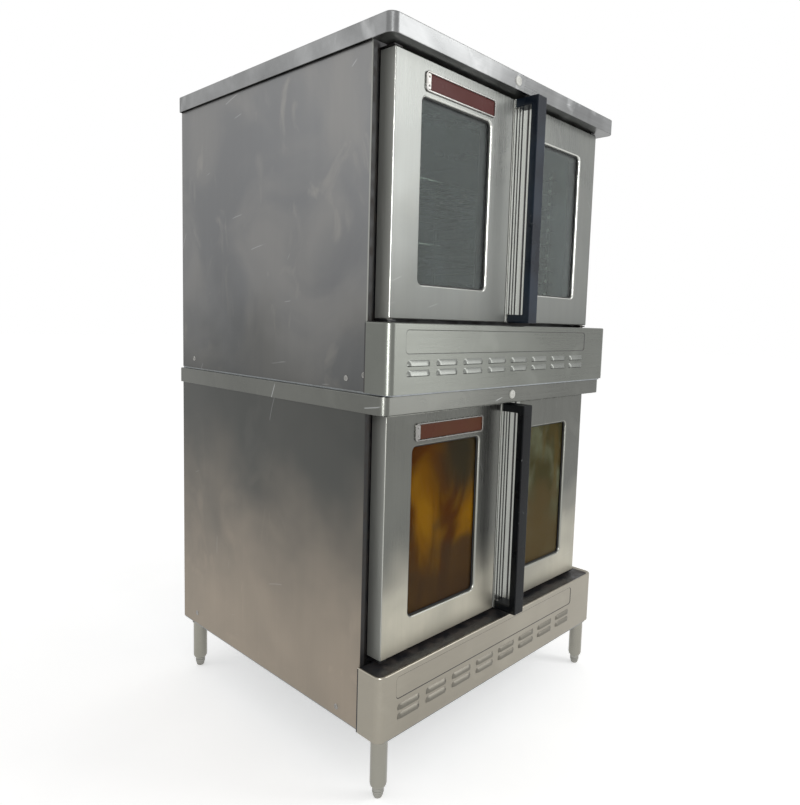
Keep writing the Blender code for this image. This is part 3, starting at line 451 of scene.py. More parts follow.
# Each finish: the function that makes it, the material's name and that function's other values.
FINISHES = {
    "cap": (stainless, "brushed_stainless_cap", "cap_steel", "#9FA0A0", "X", 0.28, 0.05, 0.8, 0.5, None, 0.05),
    "cap_lower": (stainless, "brushed_stainless_lower_cap", "#61625E", "#757671", "X", 0.28, 0.02, 0.5, 0.4),
    # The upper sides' foot is painted shade: darker towards the bottom.
    "side": (
        stainless, "rolled_stainless_side", "side_steel", "#8C8A86", "Z",
        0.36, 0.01, 0.7, 0.2, (1.35, 0.95, "#5B5C5C"), 0.08,
    ),
    # The lower sides' foot is a painted reflection of the floor: lighter and warmer towards the bottom.
    "side_lower": (
        stainless, "rolled_stainless_heated_side", "heated_steel", "#5A5A57", "Z",
        0.36, 0.01, 0.5, 0.15, (0.84, 0.22, "#968D81"), 0.08,
    ),
    # The upper door skins' foot is painted shade: darker towards the bottom.
    "door": (
        stainless, "brushed_stainless_door_skin", "door_steel", "#878883", "Z",
        0.27, 0.025, 0.4, 0.1, (1.62, 1.1, "#717370"),
    ),
    # The lower door skins' foot is a painted reflection of the floor: lighter and warmer towards the bottom.
    "door_lower": (
        stainless, "brushed_stainless_warmed_door_skin", "#646561", "#73746F", "Z",
        0.27, 0.025, 0.4, 0.1, (0.64, 0.30, "#BAB6A8"),
    ),
    # Lip finishes: polished steel made bright, a painted highlight on the rolled window lips and the louvres'
    # lower lips.
    "lip": (stainless, "polished_stainless_lip", "#C4C5C0", "#B3B4AF", "Z", 0.22, 0.01, 0.3, 0.0),
    "lip_lower": (stainless, "dulled_stainless_lip", "#8E8F89", "#7E7F79", "Z", 0.3, 0.01, 0.3, 0.0),
    # Bright edge finish: a painted highlight along rounded bends and edges.
    "edge": (stainless, "sheared_stainless_edge", "#A0A19C", "#8D8E89", "Z", 0.55, 0.02, 0.4, 0.0),
    "panel": (stainless, "brushed_stainless_front_panel", "panel_steel", "#777974", "X", 0.28, 0.012, 0.5, 0.1),
    "panel_lower": (stainless, "brushed_stainless_warmed_panel", "#959085", "#A49F93", "X", 0.3, 0.012, 0.6, 0.1),
    # The upper hoods are painted lighter than their panel, light standing on their upward faces; the lower hoods
    # are darker than theirs.
    "louvre": (stainless, "pressed_stainless_louvre", "#7A7C78", "#898B87", "X", 0.28, 0.01, 0.4, 0.0),
    "louvre_lower": (stainless, "pressed_greasy_louvre", "#716E66", "#625F57", "X", 0.36, 0.01, 0.5, 0.0),
    "trim": (stainless, "drawn_stainless_trim", "#979994", "#838580", "Z", 0.26, 0.006, 0.4, 0.0),
    "leg": (stainless, "polished_stainless_tube", "#9A988F", "#827F77", "Z", 0.2, 0.01, 0.5, 0.1),
    "galvanised": (galvanised, "galvanised_zinc_sheet"),
    "sooty": (baked_oil, "oil_blackened_steel"),
    "porcelain": (porcelain, "speckled_porcelain_enamel"),
    "enamel_upper": (handle_enamel, "navy_black_baked_enamel", "handle", "#1F2B39", 0.2),
    "enamel_lower": (handle_enamel, "scorched_black_baked_enamel", "#0E1013", "#16191C", 0.12),
    "chrome": (chrome, "chromed_steel_wire", "#8E8E8A", 0.2, "#A08C68"),
    "plate": (chrome, "chromed_die_casting", "#959491", 0.25, "#87827A"),
    "turned": (turned_steel, "turned_mild_steel"),
    "motor": (painted, "sprayed_motor_enamel", "#23282B", "#2E3437", 0.5, 0.1),
    "frosted": (painted, "frosted_lamp_glass", "#D9DAD2", "#C3C3B8", 0.25),
    # White for the guide studs: a painted glint.
    "ceramic": (painted, "glazed_white_ceramic", "#EEEEEA", "#DEDDD6", 0.3),
    "nylon": (painted, "moulded_pale_nylon", "#E8E8E2", "#D2D2CB", 0.4),
    "red": (handle_enamel, "dull_red_stove_enamel", "plate_red", "#5C2E29", 0.1),
    "brown": (handle_enamel, "heat_browned_stove_enamel", "plate_brown", "#5E3A27", 0.1),
    "spacer": (painted, "anodised_black_aluminium", "#1D1F20", "#2A2C2D", 0.4, 0.6),
    "rubber": (painted, "black_silicone_gasket", "#121314", "#1C1C1B", 0.5),
    "braid": (braid, "glass_fibre_braid"),
    "glass": (clean_glass, "toughened_plate_glass", 0.032, 0.085),
    "dull_glass": (clean_glass, "toughened_glass_with_steamed_face", 0.0015, 0.0),
    "greasy_left": (greasy_glass, "glass_with_baked_amber_grease", "grease", "#74401A", "#46261A", "#644936"),
    "greasy_right": (greasy_glass, "glass_with_baked_olive_grease", "#968F76", "#675A3E", "#8A6A3E", "#84694A"),
    "floor": (studio_white, "matt_white_floor"),
}


def material(name):
    """The finish of that name, made on first use."""
    maker, full_name, *values = FINISHES[name]
    return bpy.data.materials.get(full_name) or maker(full_name, *values)


# Shapes


def grow(rectangle, by):
    """A rectangle (u low, u high, v low, v high) grown all round, or shrunk by a negative amount."""
    u0, u1, v0, v1 = rectangle
    return (u0 - by, u1 + by, v0 - by, v1 + by)


def rounded_point(rectangle, radii, number):
    """Where point number of an outline lies on a rectangle with its own radius at each corner."""
    u0, u1, v0, v1 = rectangle
    corner, step = divmod(number, CORNER_STEPS)
    radius = max(radii[corner] if isinstance(radii, tuple) else radii, 0.0002)
    u = u0 + radius if corner in (0, 3) else u1 - radius
    v = v0 + radius if corner in (0, 1) else v1 - radius
    angle = math.pi + corner * math.pi / 2 + step / (CORNER_STEPS - 1) * math.pi / 2
    return u + radius * math.cos(angle), v + radius * math.sin(angle)


def grown_part(result, kind):
    return [part for part in result["geom"] if isinstance(part, kind)]


def sleeve(stations, axis="Z", closed=False):
    """A rounded outline extruded through stations of (rectangle, corner radii, level along the axis)."""
    shape = bmesh.new()
    number = shape.verts.layers.int.new("number")
    verts = bmesh.ops.create_circle(shape, segments=4 * CORNER_STEPS, radius=1.0)["verts"]
    for index, vert in enumerate(verts):
        vert[number] = index
    edges = first = shape.edges[:]
    for place, (rectangle, radii, level) in enumerate(stations):
        if place:
            grown = bmesh.ops.extrude_edge_only(shape, edges=edges)
            verts = grown_part(grown, bmesh.types.BMVert)
            fresh = set(verts)
            edges = [e for e in grown_part(grown, bmesh.types.BMEdge) if set(e.verts) <= fresh]
        for vert in verts:
            u, v = rounded_point(rectangle, radii, vert[number])
            vert.co = (u, v, level) if axis == "Z" else (u, level, v)
    if closed:
        bmesh.ops.bridge_loops(shape, edges=first + edges)
    else:
        for loop in (first, edges):
            bmesh.ops.contextual_create(shape, geom=loop)
    bmesh.ops.recalc_face_normals(shape, faces=shape.faces[:])
    return shape


def arc(steps):
    """Steps along a quarter circle, as (how far across, how far along) from 0 to 1."""
    return [(1 - math.cos(a), math.sin(a)) for a in (math.pi / 2 * k / steps for k in range(steps + 1))]


def slab(rectangle, radii, low, high, axis="Z", edge=0.0006):
    """A plate with rounded corners and softened edges."""
    stations = [
        (grow(rectangle, -edge), radii, low),
        (rectangle, radii, low + edge),
        (rectangle, radii, high - edge),
        (grow(rectangle, -edge), radii, high),
    ]
    return sleeve(stations, axis)


def frame_round(outline, level, steps, closed=True):
    """A sleeve along Y. Each step is how far outline grows, its corner radius and its offset from level."""
    stations = [(grow(outline, by), radius, level + offset) for by, radius, offset in steps]
    return sleeve(stations, "Y", closed)


def bevel(shape, edges, offset, segments=3):
    bmesh.ops.bevel(
        shape, geom=edges, offset=offset, segments=segments, profile=0.5, affect="EDGES", material=-1
    )


def ribbon(path, low, high, thickness, bend):
    """Sheet that follows a path of (x, y) points from one height to another, with rounded bends."""
    shape = bmesh.new()
    corners = [shape.verts.new((x, y, low)) for x, y in path]
    edges = [shape.edges.new(pair) for pair in zip(corners, corners[1:])]
    grown = bmesh.ops.extrude_edge_only(shape, edges=edges)
    bmesh.ops.translate(shape, verts=grown_part(grown, bmesh.types.BMVert), vec=(0, 0, high - low))
    bends = [e for e in shape.edges if len(e.link_faces) == 2]
    bevel(shape, bends, bend, 4)
    bmesh.ops.recalc_face_normals(shape, faces=shape.faces[:])
    bmesh.ops.solidify(shape, geom=shape.faces[:], thickness=thickness)
    bmesh.ops.recalc_face_normals(shape, faces=shape.faces[:])
    return shape


def drawn(profile, low, high, axis="Z", edge=0.0, keep=None):
    """A closed outline extruded along an axis, its long edges rounded."""
    shape = bmesh.new()
    place = {
        "X": lambda u, v, w: (w, u, v),
        "Y": lambda u, v, w: (u, w, v),
        "Z": lambda u, v, w: (u, v, w),
    }[axis]
    corners = [shape.verts.new(place(u, v, low)) for u, v in profile]
    face = shape.faces.new(corners)
    grown = bmesh.ops.extrude_face_region(shape, geom=[face], use_keep_orig=True)
    travel = Vector(place(0, 0, high)) - Vector(place(0, 0, low))
    bmesh.ops.translate(shape, verts=grown_part(grown, bmesh.types.BMVert), vec=travel)
    bmesh.ops.recalc_face_normals(shape, faces=shape.faces[:])
    if edge:
        chosen = [e for e in shape.edges if keep is None or keep(e)]
        bevel(shape, chosen, edge)
    return shape


def spun(profile, centre, axis="Z", steps=40):
    """A profile of (radius, level) points spun about an axis through centre."""
    shape = bmesh.new()
    points = [shape.verts.new((radius, 0, level)) for radius, level in profile]
    edges = [shape.edges.new(pair) for pair in zip(points, points[1:])]
    bmesh.ops.spin(
        shape,
        geom=points + edges,
        axis=(0, 0, 1),
        cent=(0, 0, 0),
        angle=2 * math.pi,
        steps=steps,
        use_merge=True,
    )
    bmesh.ops.remove_doubles(shape, verts=shape.verts[:], dist=1e-6)
    bmesh.ops.recalc_face_normals(shape, faces=shape.faces[:])
    turn = {
        "Z": Matrix.Identity(4),
        "-Y": Matrix.Rotation(math.pi / 2, 4, "X"),
        "Y": Matrix.Rotation(-math.pi / 2, 4, "X"),
        "X": Matrix.Rotation(math.pi / 2, 4, "Y"),
        "-X": Matrix.Rotation(-math.pi / 2, 4, "Y"),
    }[axis]
    bmesh.ops.transform(shape, matrix=Matrix.Translation(centre) @ turn, verts=shape.verts[:])
    return shape


def joined(*shapes):
    """Several shapes in one mesh."""
    whole = bmesh.new()
    for shape in shapes:
        mesh = bpy.data.meshes.new("part")
        shape.to_mesh(mesh)
        shape.free()
        whole.from_mesh(mesh)
        bpy.data.meshes.remove(mesh)
    return whole


def screw_head(centre, axis, radius=0.0045, height=0.0018):
    """A pan head with a washer rim under it and a dished drive recess."""
    profile = [
        (0, -0.0012),
        (radius * 1.25, -0.0012),
        (radius * 1.25, height * 0.25),
        (radius, height * 0.35),
        (radius * 0.96, height * 0.7),
        (radius * 0.72, height),
        (radius * 0.40, height * 1.02),
        (radius * 0.30, height * 0.45),
        (0, height * 0.35),
    ]
    return spun(profile, centre, axis, 14)


def cup_washer(centre, axis, radius=0.0072):
    """A countersunk screw in a cup washer, with a cross-recess drawn as a dimple."""
    profile = [
        (0, -0.0010),
        (radius, -0.0010),
        (radius, 0.0004),
        (radius * 0.88, 0.0013),
        (radius * 0.74, 0.0017),
        (radius * 0.62, 0.0013),
        (radius * 0.56, 0.0006),
        (radius * 0.30, 0.0008),
        (radius * 0.22, 0.0001),
        (0, -0.0002),
    ]
    return spun(profile, centre, axis, 20)


def hood(centre_x, centre_z, front, length, height, depth):
    """A pressed louvre: its top and ends run into the sheet and its lower lip stands proud."""
    shape = bmesh.new()
    grid = bmesh.ops.create_grid(shape, x_segments=18, y_segments=6, size=0.5)["verts"]
    for vert in grid:
        along, up = vert.co.x * 2, vert.co.y + 0.5
        end = math.sin(math.pi / 2 * min(1.0, (1 - abs(along)) / 0.20))
        rise = depth * end * math.cos(math.pi / 2 * up) ** 0.8 if up < 1 else 0.0
        vert.co = (centre_x + along * length / 2, front - rise, centre_z + (up - 0.5) * height)
    bmesh.ops.recalc_face_normals(shape, faces=shape.faces[:])
    if sum(face.normal.y for face in shape.faces) > 0:
        bmesh.ops.reverse_faces(shape, faces=shape.faces[:])
    bmesh.ops.solidify(shape, geom=shape.faces[:], thickness=0.0009)
    bmesh.ops.recalc_face_normals(shape, faces=shape.faces[:])
    return shape


def rod(points, radius, sides=8):
    """A wire through points, with a ring of sides at each and mitred corners."""
    shape = bmesh.new()
    points = [Vector(p) for p in points]
    ring = None
    for place, point in enumerate(points):
        before = (point - points[place - 1]).normalized() if place else None
        after = (points[place + 1] - point).normalized() if place + 1 < len(points) else None
        ahead = ((before or after) + (after or before)).normalized()
        turn = ahead.to_track_quat("Z", "Y").to_matrix().to_4x4()
        matrix = Matrix.Translation(point) @ turn
        made = bmesh.ops.create_circle(shape, segments=sides, radius=radius, matrix=matrix)["verts"]
        edges = list({e for v in made for e in v.link_edges})
        if ring:
            bmesh.ops.bridge_loops(shape, edges=ring + edges)
        else:
            bmesh.ops.contextual_create(shape, geom=edges)
        ring = edges
    bmesh.ops.contextual_create(shape, geom=ring)
    bmesh.ops.recalc_face_normals(shape, faces=shape.faces[:])
    return shape


def cut(shape, cutter):
    """One shape with another taken out of it."""
    objects = []
    for part in (shape, cutter):
        mesh = bpy.data.meshes.new("part")
        part.to_mesh(mesh)
        part.free()
        objects.append(bpy.data.objects.new("part", mesh))
        bpy.context.scene.collection.objects.link(objects[-1])
    boolean = objects[0].modifiers.new("cut", "BOOLEAN")
    boolean.operation = "DIFFERENCE"
    boolean.solver = "EXACT"
    boolean.object = objects[1]
    graph = bpy.context.evaluated_depsgraph_get()
    result = bmesh.new()
    result.from_mesh(objects[0].evaluated_get(graph).to_mesh())
    for made in objects:
        mesh = made.data
        bpy.data.objects.remove(made)
        bpy.data.meshes.remove(mesh)
    return result


def place_piece(name, shape, finishes, body, replaces=()):
    """Turns a shape into a piece that rides on a body, standing for the CAD nodes it replaces."""
    mesh = bpy.data.meshes.new(name)
    shape.to_mesh(mesh)
    shape.free()
    piece = bpy.data.objects.new(name, mesh)
    bpy.context.scene.collection.objects.link(piece)
    mesh.shade_smooth()
    mesh.set_sharp_from_angle(angle=math.radians(SHARP_ANGLE))
    # Flat sheet stays flat beside its rounded bends.
    piece.modifiers.new("flat faces", "WEIGHTED_NORMAL").keep_sharp = True
    for finish in finishes:
        mesh.materials.append(material(finish))
    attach(piece, body)
    if replaces:
        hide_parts(*replaces)
    return piece


def dress(node_name, finish):
    """Gives a CAD node that keeps its shape its finish."""
    mesh = frame["nodes"][node_name].data
    mesh.materials.clear()
    mesh.materials.append(material(finish))


def plan_of(section):
    """The planes of one oven that its pieces are set out from."""
    cap_low, cap_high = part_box(f"{section}_top_cap")
    panel_low, panel_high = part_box(f"{section}_louvre_panel")
    door_low, door_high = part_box(f"{section}_right_door_shell")
    side_low, side_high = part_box(f"{section}_right_side_panel")
    return {
        "half": cap_high.x,
        "front": cap_low.y,
        "back": cap_high.y,
        "cap_bottom": cap_low.z,
        "top": cap_high.z,
        "base": side_low.z - GAP,
        "panel_front": panel_low.y,
        "panel_back": panel_high.y,
        "panel_bottom": panel_low.z,
        "panel_top": panel_high.z,
        "door_face": door_low.y,
        "door_back": door_high.y,
        "door_top": door_high.z,
        "side_outer": side_high.x,
        "cavity_floor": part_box(f"{section}_oven_liner")[0].z + LINER_WALL,
    }


def finish_for(section, name):
    """The lower oven has been hotter and greasier and its sheets carry their own painted reflection of the floor,
    so its finishes are its own.
    """
    return name if section == "upper" else f"{name}_lower"


# Settings


def length(name, description, metres):
    """A length in the sidebar."""
    return FloatProperty(name=name, description=description, default=metres, unit="LENGTH")


def colour(name, description, hex_colour):
    """A colour in the sidebar."""
    return FloatVectorProperty(
        name=name, description=description, subtype="COLOR", min=0, max=1, default=linear(hex_colour)
    )


class OvenSizes(bpy.types.PropertyGroup):
    """Sizes that shape the sheet metal and its fittings."""

    sheet: length("Sheet", "Thickness of the casing sheet", 0.0015)
    bend: length("Bend", "Outer radius of a folded edge", 0.0028)
    cap_corner: length("Cap Corner", "Front corner radius", 0.022)
    window_lip: length("Window Lip", "Radius turned in", 0.0055)
    hood_length: length("Louvre Length", "Along the panel", 0.073)
    hood_height: length("Louvre Height", "Up the panel", 0.0135)
    hood_depth: length("Louvre Depth", "Lip in front of panel", 0.0045)
    glass: length("Glass", "Thickness of each pane", 0.003)
    handle_edge: length("Handle Edge", "Radius of its edges", 0.003)
    wire: length("Rack Wire", "Diameter of the grid wires", 0.003)
    rack_wires: IntProperty(name="Rack Wires", description="Wires from front to back", default=24, min=2)


class OvenColours(bpy.types.PropertyGroup):
    """Colours of the main finishes."""

    cap_steel: colour("Cap Steel", "Upper cap", "#656666")
    side_steel: colour("Side Steel", "Upper sides", "#6B6C6D")
    # The lower sides are darker than the upper ones, and their tone is the top of a painted gradient.
    heated_steel: colour("Heated Steel", "Lower sides", "#4A4B49")
    door_steel: colour("Door Steel", "Upper door skins", "#787A77")
    panel_steel: colour("Panel Steel", "Upper front panel", "#696B66")
    handle: colour("Handle", "Upper handle's enamel", "#121A25")
    plate_red: colour("Plate Red", "Upper plate", "#5E2D2A")
    plate_brown: colour("Plate Brown", "Lower plate", "#5F3728")
    cavity: colour("Cavity", "Porcelain enamel", "#646B6A")
    grease: colour("Grease", "Baked fat on the lower left window", "#C4811F")


class OvenOperator(bpy.types.Operator):
    """Shared settings of the oven's operators."""

    bl_options = {"REGISTER", "UNDO"}

    def sizes(self, context):
        return context.scene.oven_sizes


class OVEN_OT_caps(OvenOperator):
    """Folded stainless caps, one on each oven, with a plug in the front edge"""

    bl_idname = "oven.caps"
    bl_label = "Caps"

    def execute(self, context):
        sizes = self.sizes(context)
        for section in SECTIONS:
            p = plan_of(section)
            t, bend = sizes.sheet, sizes.bend
            outline = (-p["half"], p["half"], p["front"], p["back"])
            radii = (sizes.cap_corner, sizes.cap_corner, 0.004, 0.004)
            inner = tuple(max(r - t, 0.001) for r in radii)
            stations = [
                (grow(outline, -t), inner, p["top"] - t),
                (grow(outline, -t), inner, p["cap_bottom"] + 0.0005),
                (grow(outline, -t / 2), tuple(r - t / 2 for r in radii), p["cap_bottom"]),
                (outline, radii, p["cap_bottom"] + 0.0008),
            ]
            for inward, along in arc(4):
                turned_in = tuple(r - bend * inward for r in radii)
                level = p["top"] - bend + bend * along
                stations.append((grow(outline, -bend * inward), turned_in, level))
            tray = sleeve(stations)
            under = (-p["half"] + t, p["half"] - t, p["front"] + t, p["panel_back"])
            corners = (inner[0], inner[1], 0.001, 0.001)
            soffit = slab(under, corners, p["cap_bottom"] + 0.0003, p["cap_bottom"] + 0.0018)
            name, node = f"{section}_cap_pressing", f"{section}_top_cap"
            finishes = [finish_for(section, "cap")]
            place_piece(name, joined(tray, soffit), finishes, "body", [node])
            middle = (p["cap_bottom"] + p["top"]) / 2
            rim = [(0, -0.001), (0.0125, -0.001), (0.0125, 0.001), (0.0112, 0.0026), (0.0085, 0.0030)]
            dish = [(0.0070, 0.0018), (0.0040, 0.0014), (0.0022, 0.0024), (0, 0.0026)]
            plug = spun(rim + dish, (PLUG_X[section], p["front"], middle), "-Y", 28)
            place_piece(f"{section}_cap_plug", plug, ["nylon"], "body")
        return {"FINISHED"}


class OVEN_OT_sides(OvenOperator):
    """Side and rear sheets of both ovens, with their screws"""

    bl_idname = "oven.sides"
    bl_label = "Sides and Rear"

    def execute(self, context):
        sizes = self.sizes(context)
        for section in SECTIONS:
            p = plan_of(section)
            for label, side in SIDES:
                low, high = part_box(f"{section}_{label}_side_panel")
                outer = side * p["side_outer"]
                hem = high.x if side < 0 else low.x
                path = [(outer, high.y), (outer, low.y), (hem, low.y)]
                # A narrow joint stays open above the cap that the oven stands on.
                sheet = ribbon(path, low.z + 0.004, high.z, sizes.sheet, sizes.bend)
                # The rounded front bend of the upper sides gets the bright edge finish, a painted highlight.
                for part in sheet.faces:
                    if part.calc_center_median().y < low.y + sizes.bend:
                        part.material_index = 2 if abs(part.normal.y) > 0.97 else 1
                finish = finish_for(section, "side")
                finishes = [finish, "edge" if section == "upper" else finish, "sooty"]
                name, node = f"{section}_{label}_side_sheet", f"{section}_{label}_side_panel"
                place_piece(name, sheet, finishes, "body", [node])
                heads = []
                for from_front, height in SIDE_SCREWS[section]:
                    y = max(p["front"] + from_front, low.y + 0.007)
                    heads.append(cup_washer((outer, y, p["base"] + height), "X" if side > 0 else "-X"))
                name = f"{section}_{label}_side_screws"
                place_piece(name, joined(*heads), ["plate"], "body")
            low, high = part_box(f"{section}_rear_panel")
            plate = slab((low.x, high.x, low.z, high.z), 0.003, low.y, high.y, "Y", 0.0004)
            name, node = f"{section}_rear_sheet", f"{section}_rear_panel"
            place_piece(name, plate, ["galvanised"], "body", [node])
            halfway = (low.z + high.z) / 2
            heads = []
            for x in (low.x + 0.02, 0.0, high.x - 0.02):
                for z in (low.z + 0.03, halfway, high.z - 0.06):
                    if x or z != halfway:
                        heads.append(screw_head((x, high.y, z), "Y"))
            place_piece(f"{section}_rear_screws", joined(*heads), ["turned"], "body")
            vents = []
            for x in (-0.27, 0.27):
                for row in range(VENT_ROWS):
                    z = low.z + 0.12 + row * VENT_PITCH
                    mouth = slab((x - 0.058, x + 0.058, z - 0.010, z), 0.003, -0.0002, 0.0003, "Y", 0.0001)
                    # Each mouth is a dark plate behind its hood, painted shade standing for the opening.
                    for part in mouth.faces:
                        part.material_index = 1
                    vents += [hood(x, z, 0.0, 0.12, 0.018, 0.0014), mouth]
            vents = joined(*vents)
            turn = Matrix.Translation((0, high.y, 0)) @ Matrix.Rotation(math.pi, 4, "Z")
            bmesh.ops.transform(vents, matrix=turn, verts=vents.verts[:])
            name = f"{section}_rear_vents"
            place_piece(name, vents, ["galvanised", "sooty"], "body")
        return {"FINISHED"}


class OVEN_OT_front_panels(OvenOperator):
    """Louvred panels under the doors: rounded corners, a pressed recess and two rows of louvres"""

    bl_idname = "oven.front_panels"
    bl_label = "Front Panels"

    def execute(self, context):
        sizes = self.sizes(context)
        for section in SECTIONS:
            p = plan_of(section)
            half, front, back = p["half"], p["panel_front"], p["panel_back"]
            shape = bmesh.new()
            seam = back - 0.004
            left = [(-half, y) for y in (back, seam, front)]
            right = [(half, y) for y in (front, seam, back)]
            corners = [shape.verts.new((x, y, p["panel_top"])) for x, y in left + right]
            shape.faces.new(corners)
            bmesh.ops.bevel(
                shape,
                geom=corners[2:4],
                offset=sizes.cap_corner,
                segments=10,
                profile=0.5,
                affect="VERTICES",
                material=-1,
            )
            rim = [e for e in shape.edges if not all(abs(v.co.y - back) < 1e-6 for v in e.verts)]
            grown = bmesh.ops.extrude_edge_only(shape, edges=rim)
            bmesh.ops.translate(
                shape,
                verts=grown_part(grown, bmesh.types.BMVert),
                vec=(0, 0, p["panel_bottom"] - p["panel_top"]),
            )
            bmesh.ops.recalc_face_normals(shape, faces=shape.faces[:])
            top = [f for f in shape.faces if abs(f.normal.z) > 0.9]
            bmesh.ops.inset_region(shape, faces=top, thickness=0.010, depth=0.0, use_even_offset=True)
            shelf = [f for f in shape.faces if abs(f.normal.z) > 0.9 and len(f.verts) > 6]
            rim = [
                e
                for e in shape.edges
                if len(e.link_faces) == 2
                and abs(e.link_faces[0].normal.dot(e.link_faces[1].normal)) < 0.1
                and all(abs(v.co.z - p["panel_top"]) < 1e-6 for v in e.verts)
            ]
            bevel(shape, rim, 0.0035, 4)
            if sum(f.normal.z for f in shape.faces) < 0:
                bmesh.ops.reverse_faces(shape, faces=shape.faces[:])
            # The shelf along the panel's top gets oil-blackened steel, painted shade for the dark gap in front of
            # the doors.
            for face in shelf:
                if face.is_valid:
                    face.material_index = 1
            for face in shape.faces:
                # Painted shadow: the side faces in the joint behind the panel get oil-blackened steel.
                if face.calc_center_median().y > seam and abs(face.normal.x) > 0.9:
                    face.material_index = 1
            dropped = {v for f in shelf if f.is_valid for v in f.verts}
            bmesh.ops.translate(shape, verts=list(dropped), vec=(0, 0, -0.004))
            bmesh.ops.solidify(shape, geom=shape.faces[:], thickness=sizes.sheet)
            bmesh.ops.recalc_face_normals(shape, faces=shape.faces[:])

            left, right, bottom, top = RECESS
            recess_outline = (-half + left, -half + right, p["base"] + bottom, p["base"] + top)
            steps = ((0.0002, 0.010, -0.0015), (0, 0.010, 0.0001), (-0.0016, 0.009, RECESS_DEPTH))
            recess = frame_round(recess_outline, front, steps, closed=False)
            for part in recess.faces:
                # The step round the recess is painted dark, a painted shade that draws its outline.
                part.material_index = 0 if abs(part.normal.y) > 0.9 else 1
            slots = []
            hoods = []
            for column in range(LOUVRE_COLUMNS):
                x = -half + LOUVRE_FIRST + column * (LOUVRE_LAST - LOUVRE_FIRST) / (LOUVRE_COLUMNS - 1)
                for row in LOUVRE_ROWS:
                    z = p["base"] + row
                    mouth = (x - 0.0375, x + 0.0375, z - 0.0086, z + 0.0025)
                    slots.append(slab(mouth, 0.003, front - 0.004, front + 0.006, "Y", 0.0002))
                    shell = hood(x, z, front + 0.0001, sizes.hood_length, sizes.hood_height, sizes.hood_depth)
                    # Downward faces of each hood get the bright lip finish, a painted highlight along the lower
                    # lip.
                    for part in shell.faces:
                        part.material_index = 3 if part.normal.z < -0.7 else 2
                    hoods.append(shell)
            shape = cut(shape, joined(recess, *slots))
            shape = joined(shape, *hoods)
            name, node = f"{section}_louvred_front_sheet", f"{section}_louvre_panel"
            panel, louvre, lip = (finish_for(section, part) for part in ("panel", "louvre", "lip"))
            place_piece(name, shape, [panel, "sooty", louvre, lip], "body", [node])
        return {"FINISHED"}


class OVEN_OT_doors(OvenOperator):
    """Door skins with a turned-in lip round each window, and their inner panels"""

    bl_idname = "oven.doors"
    bl_label = "Doors"

    def execute(self, context):
        sizes = self.sizes(context)
        t, bend, lip = sizes.sheet, sizes.bend, sizes.window_lip
        for section in SECTIONS:
            for label, _ in SIDES:
                body = f"{section}_{label}_door"
                low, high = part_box(f"{body}_shell")
                glass_low, glass_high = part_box(f"{body}_window")
                door = (low.x, high.x, low.z, high.z)
                window = grow((glass_low.x, glass_high.x, glass_low.z, glass_high.z), -GLASS_OVERLAP)
                face, back = low.y, high.y
                stations = [(door, 0.0022, back), (door, 0.0022, face + bend)]
                for inward, along in arc(4)[1:]:
                    stations.append((grow(door, -bend * inward), 0.0022, face + bend - bend * along))
                for inward, along in arc(5):
                    # The lip rolls from the face of the door into the window.
                    out = lip * (1 - along)
                    stations.append((grow(window, out), WINDOW_CORNER + out, face + lip * inward))
                stations += [
                    (window, WINDOW_CORNER, face + 0.0090),
                    (grow(window, t), WINDOW_CORNER + t, face + 0.0090),
                    (grow(window, t), WINDOW_CORNER + t, face + lip),
                    (grow(window, lip + 0.002), 0.016 + lip, face + t + 0.0002),
                    (grow(door, -bend), 0.001, face + t + 0.0002),
                    (grow(door, -t), 0.001, face + bend + 0.001),
                    (grow(door, -t), 0.001, back),
                ]
                skin = sleeve(stations, "Y", closed=True)
                rim = grow(door, -0.001)
                # The rolled lip gets the bright lip finish and the door's outer bends and edges the bright edge
                # finish: painted highlights.
                for part in skin.faces:
                    middle = part.calc_center_median()
                    inside = rim[0] < middle.x < rim[1] and rim[2] < middle.z < rim[3]
                    rolled = inside and face + 0.0004 < middle.y < face + 0.0089
                    part.material_index = 2 if rolled else 0 if inside else 1
                finishes = [finish_for(section, "door"), "edge", finish_for(section, "lip")]
                place_piece(f"{body}_skin", skin, finishes, body, [f"{body}_shell"])
                low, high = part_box(f"{body}_inner_panel")
                panel = (low.x, high.x, low.z, high.z)
                raised = grow(window, 0.045)
                stations = [
                    (panel, 0.002, back - t),
                    (panel, 0.002, back - 0.0004),
                    (grow(panel, -0.0004), 0.002, back),
                    (grow(raised, 0.006), 0.02, back),
                    (raised, 0.016, back - 0.004),
                    (grow(window, 0.004), 0.018, back - 0.004),
                    (grow(window, 0.001), 0.015, back - 0.006),
                    (window, WINDOW_CORNER, back - 0.010),
                    (window, WINDOW_CORNER, glass_high.y),
                    (grow(window, t), 0.015, glass_high.y),
                    (grow(window, t), 0.015, back - 0.012),
                    (grow(window, 0.006), 0.018, back - 0.0055),
                    (grow(raised, 0.001), 0.016, back - 0.0055),
                ]
                liner = sleeve(stations, "Y", closed=True)
                for part in liner.faces:
                    part.material_index = part.calc_center_median().y < back - 0.0105
                node = f"{body}_inner_panel"
                place_piece(f"{body}_liner", liner, ["trim", "sooty"], body, [node])
                heads = []
                for x in (low.x + 0.022, high.x - 0.022):
                    for share in (0.06, 0.36, 0.64, 0.94):
                        z = low.z + share * (high.z - low.z)
                        heads.append(screw_head((x, back, z), "Y", 0.004, 0.0014))
                name = f"{body}_liner_screws"
                place_piece(name, joined(*heads), ["turned"], body)
        return {"FINISHED"}


